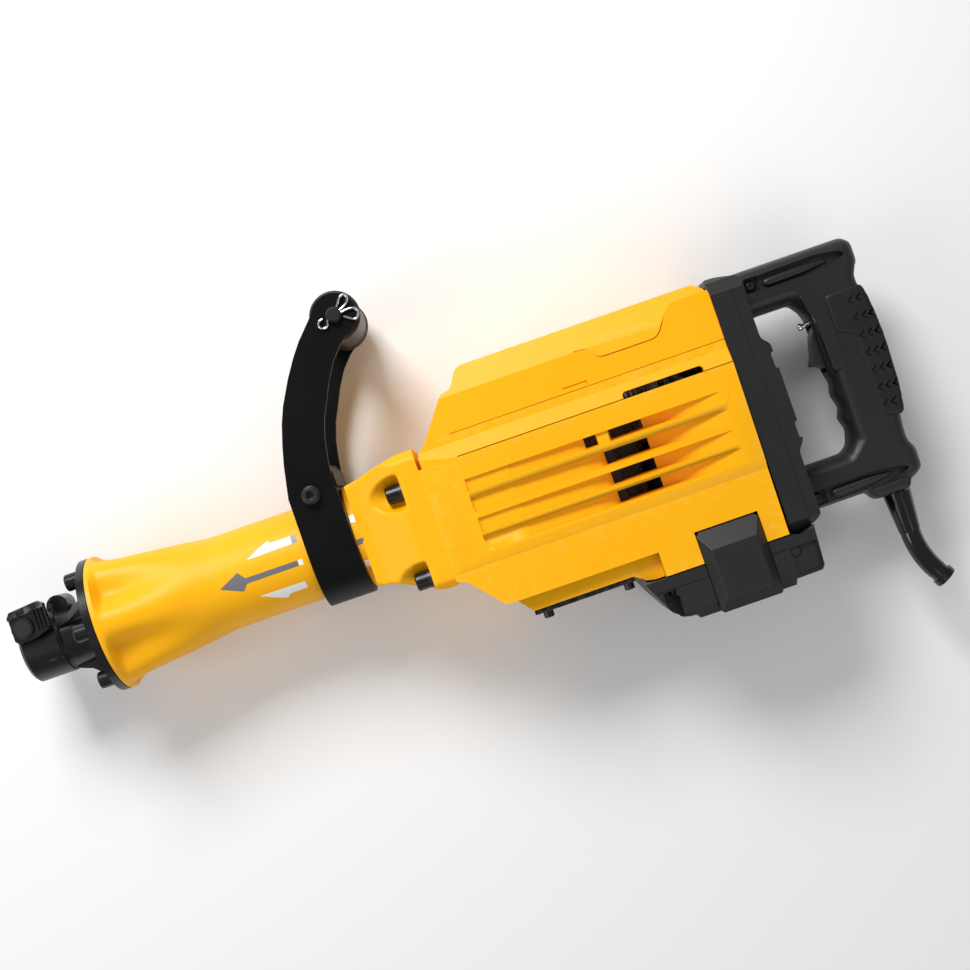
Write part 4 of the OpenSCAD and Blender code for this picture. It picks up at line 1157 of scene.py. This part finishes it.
@dataclass
class SplitPins:
    """The bent spring wires that lock the roller's pin outside each arm."""

    centre: Point2 = (319.5, 167.5)
    lift: float = 47.6
    radius: float = 0.95
    eye: Point2 = (-9.9, -3.9)
    eye_radius: float = 3.7
    upper_loop: Outline = (
        (0.0, 0.6), (4.5, 1.6), (9.0, 3.6), (13.4, 6.6), (14.0, 11.0), (10.6, 13.2), (7.0, 9.4),
        (4.0, 5.0),
    )
    lower_loop: Outline = (
        (0.0, -0.4), (5.5, 0.0), (11.5, 1.2), (17.5, 0.0), (18.8, -4.6), (15.0, -8.8),
        (11.0, -6.4), (7.0, -3.4),
    )

    def place(self, x: float, y: float) -> Vector:
        """A point of the wire, measured from the pin's centre."""
        return Vector((self.centre[0] + x, self.centre[1] + y, self.lift))

    def paths(self) -> list[list[Vector]]:
        """Paths of the eye and of the two spread loops."""
        turns = [math.radians(15 - 27 * step) for step in range(12)]
        eye = [
            self.place(
                self.eye[0] + self.eye_radius * math.cos(a),
                self.eye[1] + self.eye_radius * math.sin(a),
            )
            for a in turns
        ]
        stem = [self.place(2.0, 0.6), self.place(-4.0, -1.6)]
        ends = (self.upper_loop, self.lower_loop)
        return [stem + eye, *[[self.place(x, y) for x, y in loop] for loop in ends]]

    def build(self) -> None:
        """Bends the wires on both arms."""
        wires = [wire("split_pin_wire", path, self.radius) for path in self.paths()]
        pins = both_sides(join(wires))
        tidy_faces(pins, 60.0)
        dress(pins, CHROME, "side_handle", ("split_pins",), "chrome")


# ---------------------------------------------------------------- motor end


@dataclass
class RearPlate:
    """The moulded plate between the case and the rear handle, and its four screws."""

    half: float = 55.5
    outline: Outline = (
        (596.0, 99.8), (606.0, 99.3), (622.0, 95.0), (622.0, 43.0), (628.0, 37.0),
        (628.0, -40.0), (622.0, -48.0), (622.0, -99.0), (616.0, -103.5), (603.0, -107.0),
        (600.0, -106.0), (596.2, -104.5),
    )
    section: Outline = (
        (-108.0, 45.0), (-98.0, 55.5), (86.0, 55.5), (96.0, 50.0), (100.2, 43.0),
    )
    hollow: Outline = (
        (590.0, 92.0), (606.0, 92.0), (612.0, 84.0), (612.0, -92.0), (590.0, -98.0),
    )
    dome: Outline = ((616.0, 5.2), (625.4, 5.2), (626.8, 4.4), (627.5, 2.8), (627.7, 1.0))
    notch_x: Point2 = (625.6, 640.0)
    notch_half: float = 6.5
    screws: tuple[Point2, ...] = ((24.0, 44.0), (-32.0, 44.0))

    def screw(self, y: float, z: float) -> Piece:
        """One domed screw whose slots face the handle."""
        head = turned("plate_screw", self.dome, Vector((0.0, y, z)), X_AXIS, 32)
        for width, tall in ((0.6, 3.6), (3.6, 0.6)):
            combine(head, block("slot", (626.6, 629.0), (y - width, y + width),
                                (z - tall, z + tall)))
        return head

    def build(self) -> None:
        """Models the plate with soft edges and sinks its screws in round notches."""
        plate = prism("rear_plate_shell", rounded(self.outline, 3.0, 4), -self.half, self.half)
        section = prism("section_tool", mirrored(self.section), 590.0, 640.0, "YZ")
        combine(plate, section, "INTERSECT")
        combine(plate, prism("hollow", self.hollow, -50.0, 50.0))
        for y, z in self.screws:
            inner, outer = self.notch_x
            low, high = y - self.notch_half, y + self.notch_half
            corners = [(inner, low), (outer, low), (outer, high), (inner, high)]
            notch = prism("notch", rounded(corners, 2.0, 4), z - self.notch_half, 62.0)
            combine(plate, both_sides(notch))
        groove = block("band_groove", (612.6, 613.6), (-97.0, 88.0), (self.half - 0.5, 60.0))
        combine(plate, both_sides(groove))
        bevel_sharp(plate, 1.4, 4, 28.0)
        tidy_faces(plate, 32.0)
        dress(plate, MOULDED, "hammer", ("rear_plate",), "grey_plastic")
        heads = both_sides(join([self.screw(y, z) for y, z in self.screws]))
        heads.name = heads.data.name = "rear_plate_screw_heads"
        tidy_faces(heads)
        dress(heads, DARK_STEEL, "hammer", ("rear_plate_screws",), "machined_steel")


@dataclass
class TailCover:
    """The moulded cover under the motor, with its pockets and screw bosses."""

    pocket: Outline = (
        (590.5, -117.0), (611.5, -115.5), (611.0, -137.0), (592.0, -138.0),
    )
    bosses: tuple[Point2, ...] = ((594.5, -119.5), (501.5, -119.5))
    boss_shape: Outline = ((0.0, 4.0), (3.8, 4.0), (4.6, 3.2))

    def build(self) -> None:
        """Adds the rear pocket and the bosses to the cover."""
        cover = copy_of("tail_cover", "tail_cover_shell")
        combine(cover, both_sides(prism("pocket", rounded(self.pocket, 2.0, 3), 52.2, 60.0)))
        groove = block("rim_groove", (484.0, 611.0), (-116.4, -115.6), (54.4, 60.0))
        combine(cover, both_sides(groove))
        for x, y in self.bosses:
            boss = turned("boss", self.boss_shape, Vector((x, y, 49.6)), Z_AXIS, 28)
            combine(cover, both_sides(boss), "UNION")
        bevel_sharp(cover, 0.7, 3, 28.0)
        tidy_faces(cover, 32.0)
        dress(cover, MOULDED, "hammer", ("tail_cover",), "grey_plastic")


# ---------------------------------------------------------------- studio


@dataclass(frozen=True)
class Lamp:
    """A soft square area light: its place and aim in metres, its side and its power."""

    name: str
    place: Point3
    aim: Point3
    size: float
    watts: float


@dataclass
class Studio:
    """The camera, the soft lights and the pale floor."""

    camera_place: Point3 = (0.3867, 0.006, 1.2)
    turn: float = -19.1
    lens: float = 55.67
    lamps: tuple[Lamp, ...] = (
        Lamp("key_light", (0.1, 1.3, 1.15), (0.38, 0.0, 0.0), 0.7, 29.0),
        Lamp("fill_light", (0.9, -1.2, 1.3), (0.38, 0.0, 0.0), 1.2, 5.5),
        Lamp("end_light", (-0.9, -0.2, 1.0), (0.3, 0.0, 0.0), 0.8, 5.5),
    )
    sky_strength: float = 0.27
    floor_size: float = 14.0
    floor_place: Point3 = (0.4, 0.0, -0.0637)
    floor_grey: float = 0.93

    def camera(self) -> None:
        """Makes the camera that looks straight down at the tool."""
        bpy.ops.object.camera_add(
            location=self.camera_place, rotation=(0.0, 0.0, math.radians(self.turn))
        )
        camera = bpy.context.object
        camera.data.lens = self.lens
        camera.data.sensor_width = 36.0
        camera.data.clip_start = 0.01
        bpy.context.scene.camera = camera

    def hang(self, lamp: Lamp) -> None:
        """Adds one soft square area light that faces its aim."""
        toward = Vector(lamp.aim) - Vector(lamp.place)
        turn = toward.to_track_quat("-Z", "Y").to_euler()
        bpy.ops.object.light_add(type="AREA", location=lamp.place, rotation=turn)
        light = bpy.context.object
        light.name = lamp.name
        light.data.size = lamp.size
        light.data.energy = lamp.watts

    def build(self) -> None:
        """Hangs the lights, sets the sky and lays the floor."""
        for lamp in self.lamps:
            self.hang(lamp)
        world = bpy.data.worlds.new("soft_sky")
        bpy.context.scene.world = world
        world.use_nodes = True
        sky = world.node_tree.nodes["Background"]
        sky.inputs["Color"].default_value = (1.0, 1.0, 1.0, 1.0)
        sky.inputs["Strength"].default_value = self.sky_strength
        bpy.ops.object.select_all(action="DESELECT")
        bpy.ops.mesh.primitive_plane_add(size=self.floor_size, location=self.floor_place)
        floor = bpy.context.object
        floor.name = "studio_floor"
        paper = bpy.data.materials.new("pale_paper")
        paper.use_nodes = True
        shader = paper.node_tree.nodes["Principled BSDF"]
        shader.inputs["Base Color"].default_value = (*[self.floor_grey] * 3, 1.0)
        shader.inputs["Roughness"].default_value = 0.9
        floor.data.materials.append(paper)


# ---------------------------------------------------------------- parts in their CAD shape


@dataclass(frozen=True)
class SoftPart:
    """A CAD node that a copy with rounded edges stands in for."""

    node: str
    finish: Finish
    slot: str
    width: float


Soft = tuple[SoftPart, ...]
Painted = tuple[tuple[str, Finish], ...]


@dataclass
class CadGroup:
    """Parts of one body that keep their CAD shape, some with rounded edges."""

    body: str = "hammer"
    soft: Soft = ()
    painted: Painted = ()

    def build(self) -> None:
        """Rounds and dresses the soft parts and paints the others."""
        for part in self.soft:
            softened(part.node, part.finish, self.body, part.slot, part.width)
        for node, finish in self.painted:
            paint(node, finish)


@dataclass
class FrontEnd(CadGroup):
    """The tool holder and its screws."""

    soft: Soft = (
        SoftPart("front_cover", BLACK_CAST, "black_cast", 1.0),
        SoftPart("front_cover_screws", BLACK_CAST, "machined_steel", 0.4),
    )
    painted: Painted = (
        ("front_gasket", RUBBER), ("hammer_holder", STEEL), ("damper_ring", RUBBER),
        ("impact_bolt", STEEL),
    )


@dataclass
class ToolRetainer(CadGroup):
    """The lever that holds the tool in, with its cross pin."""

    body: str = "tool_retainer"
    soft: Soft = (
        SoftPart("retainer_pin", DARK_STEEL, "machined_steel", 0.4),
        SoftPart("retainer_lever", BLACK_CAST, "black_cast", 0.5),
    )


@dataclass
class CaseFittings(CadGroup):
    """Bolts, plates and covers fixed to the case."""

    soft: Soft = (
        SoftPart("case_bolts", BLACK_CAST, "machined_steel", 0.4),
        SoftPart("bottom_plate", BLACK_CAST, "black_cast", 0.5),
        SoftPart("bottom_plate_bolts", DARK_STEEL, "machined_steel", 0.4),
        SoftPart("tail_cover_screws", DARK_STEEL, "machined_steel", 0.3),
        SoftPart("brush_cover_near", MOULDED, "grey_plastic", 1.0),
        SoftPart("brush_cover_far", MOULDED, "grey_plastic", 1.0),
    )
    painted: Painted = (
        ("case_bolt_washers", DARK_STEEL), ("bottom_gasket", RUBBER),
    )


@dataclass
class SideHandle(CadGroup):
    """The strap handle, its clamp and the pin of its roller."""

    body: str = "side_handle"
    soft: Soft = (
        SoftPart("side_handle_strap", STRAP_BLACK, "black_cast", 0.8),
        SoftPart("clamp_saddle", STRAP_BLACK, "black_cast", 0.5),
        SoftPart("clamp_screw", DARK_STEEL, "machined_steel", 0.4),
        SoftPart("clamp_nut", DARK_STEEL, "machined_steel", 0.3),
        SoftPart("roller_pin", DARK_STEEL, "machined_steel", 0.5),
    )
    painted: Painted = (
        ("strap_liner", RUBBER),
    )


@dataclass
class Roller(CadGroup):
    """The turning grip of the side handle."""

    body: str = "roller"
    soft: Soft = (SoftPart("roller_grip", MOULDED, "grey_plastic", 1.0),)


@dataclass
class HandleFittings(CadGroup):
    """Screws, cord guard and switch of the rear handle."""

    soft: Soft = (
        SoftPart("handle_screws", DARK_STEEL, "machined_steel", 0.3),
        SoftPart("cord_guard", GLOSS_RUBBER, "black_rubber", 0.3),
    )
    painted: Painted = (
        ("switch_body", MOULDED), ("trigger_pin", STEEL), ("cord_clamp", MOULDED),
    )


@dataclass
class Trigger(CadGroup):
    """The switch trigger."""

    body: str = "trigger"
    soft: Soft = (SoftPart("trigger", MOULDED, "grey_plastic", 0.5),)


@dataclass
class LockButton(CadGroup):
    """The pin that locks the trigger on."""

    body: str = "lock_button"
    soft: Soft = (SoftPart("lock_button", CHROME, "machined_steel", 0.3),)


@dataclass
class Drive(CadGroup):
    """Motor, gears and hammer mechanism inside the case."""

    # The crank case's near-black finish is painted shade behind the louvres.
    painted: Painted = (
        ("crank_case", SHADE_DARKENED_ALUMINIUM), ("stator_core", LAMINATION), ("stator_windings", COPPER),
        ("brush_holders", BRASS), ("carbon_brushes", CARBON), ("ball_bearings", STEEL),
        ("cylinder_sleeve", STEEL), ("striker", STEEL), ("armature_shaft", STEEL),
        ("armature_core", LAMINATION), ("commutator", COPPER), ("cooling_fan", NYLON),
        ("idler_gear", STEEL), ("idler_shaft", STEEL), ("crank_gear", STEEL),
        ("crankshaft", STEEL), ("con_rod", STEEL), ("piston", SHADE_DARKENED_ALUMINIUM),
        ("wrist_pin_stubs", STEEL),
    )


def main() -> None:
    """Builds the studio and the tool."""
    logging.basicConfig(level=logging.INFO, format="%(name)s: %(message)s")
    bpy.context.scene.view_settings.view_transform = "Standard"
    studio = Studio()
    studio.camera()
    for assembly in (
        MainHousing(), GearCover(), TopCover(), Barrel(), ArrowDecals(), FrontEnd(),
        ToolRetainer(), CaseFittings(), TailCover(), RearPlate(), RearHandle(), GripCover(),
        HandleFittings(), Trigger(), LockButton(), SideHandle(), SplitPins(), Roller(), Drive(),
    ):
        assembly.build()
        log.info("%s built", type(assembly).__name__)
    studio.build()


if __name__ == "__main__":
    main()
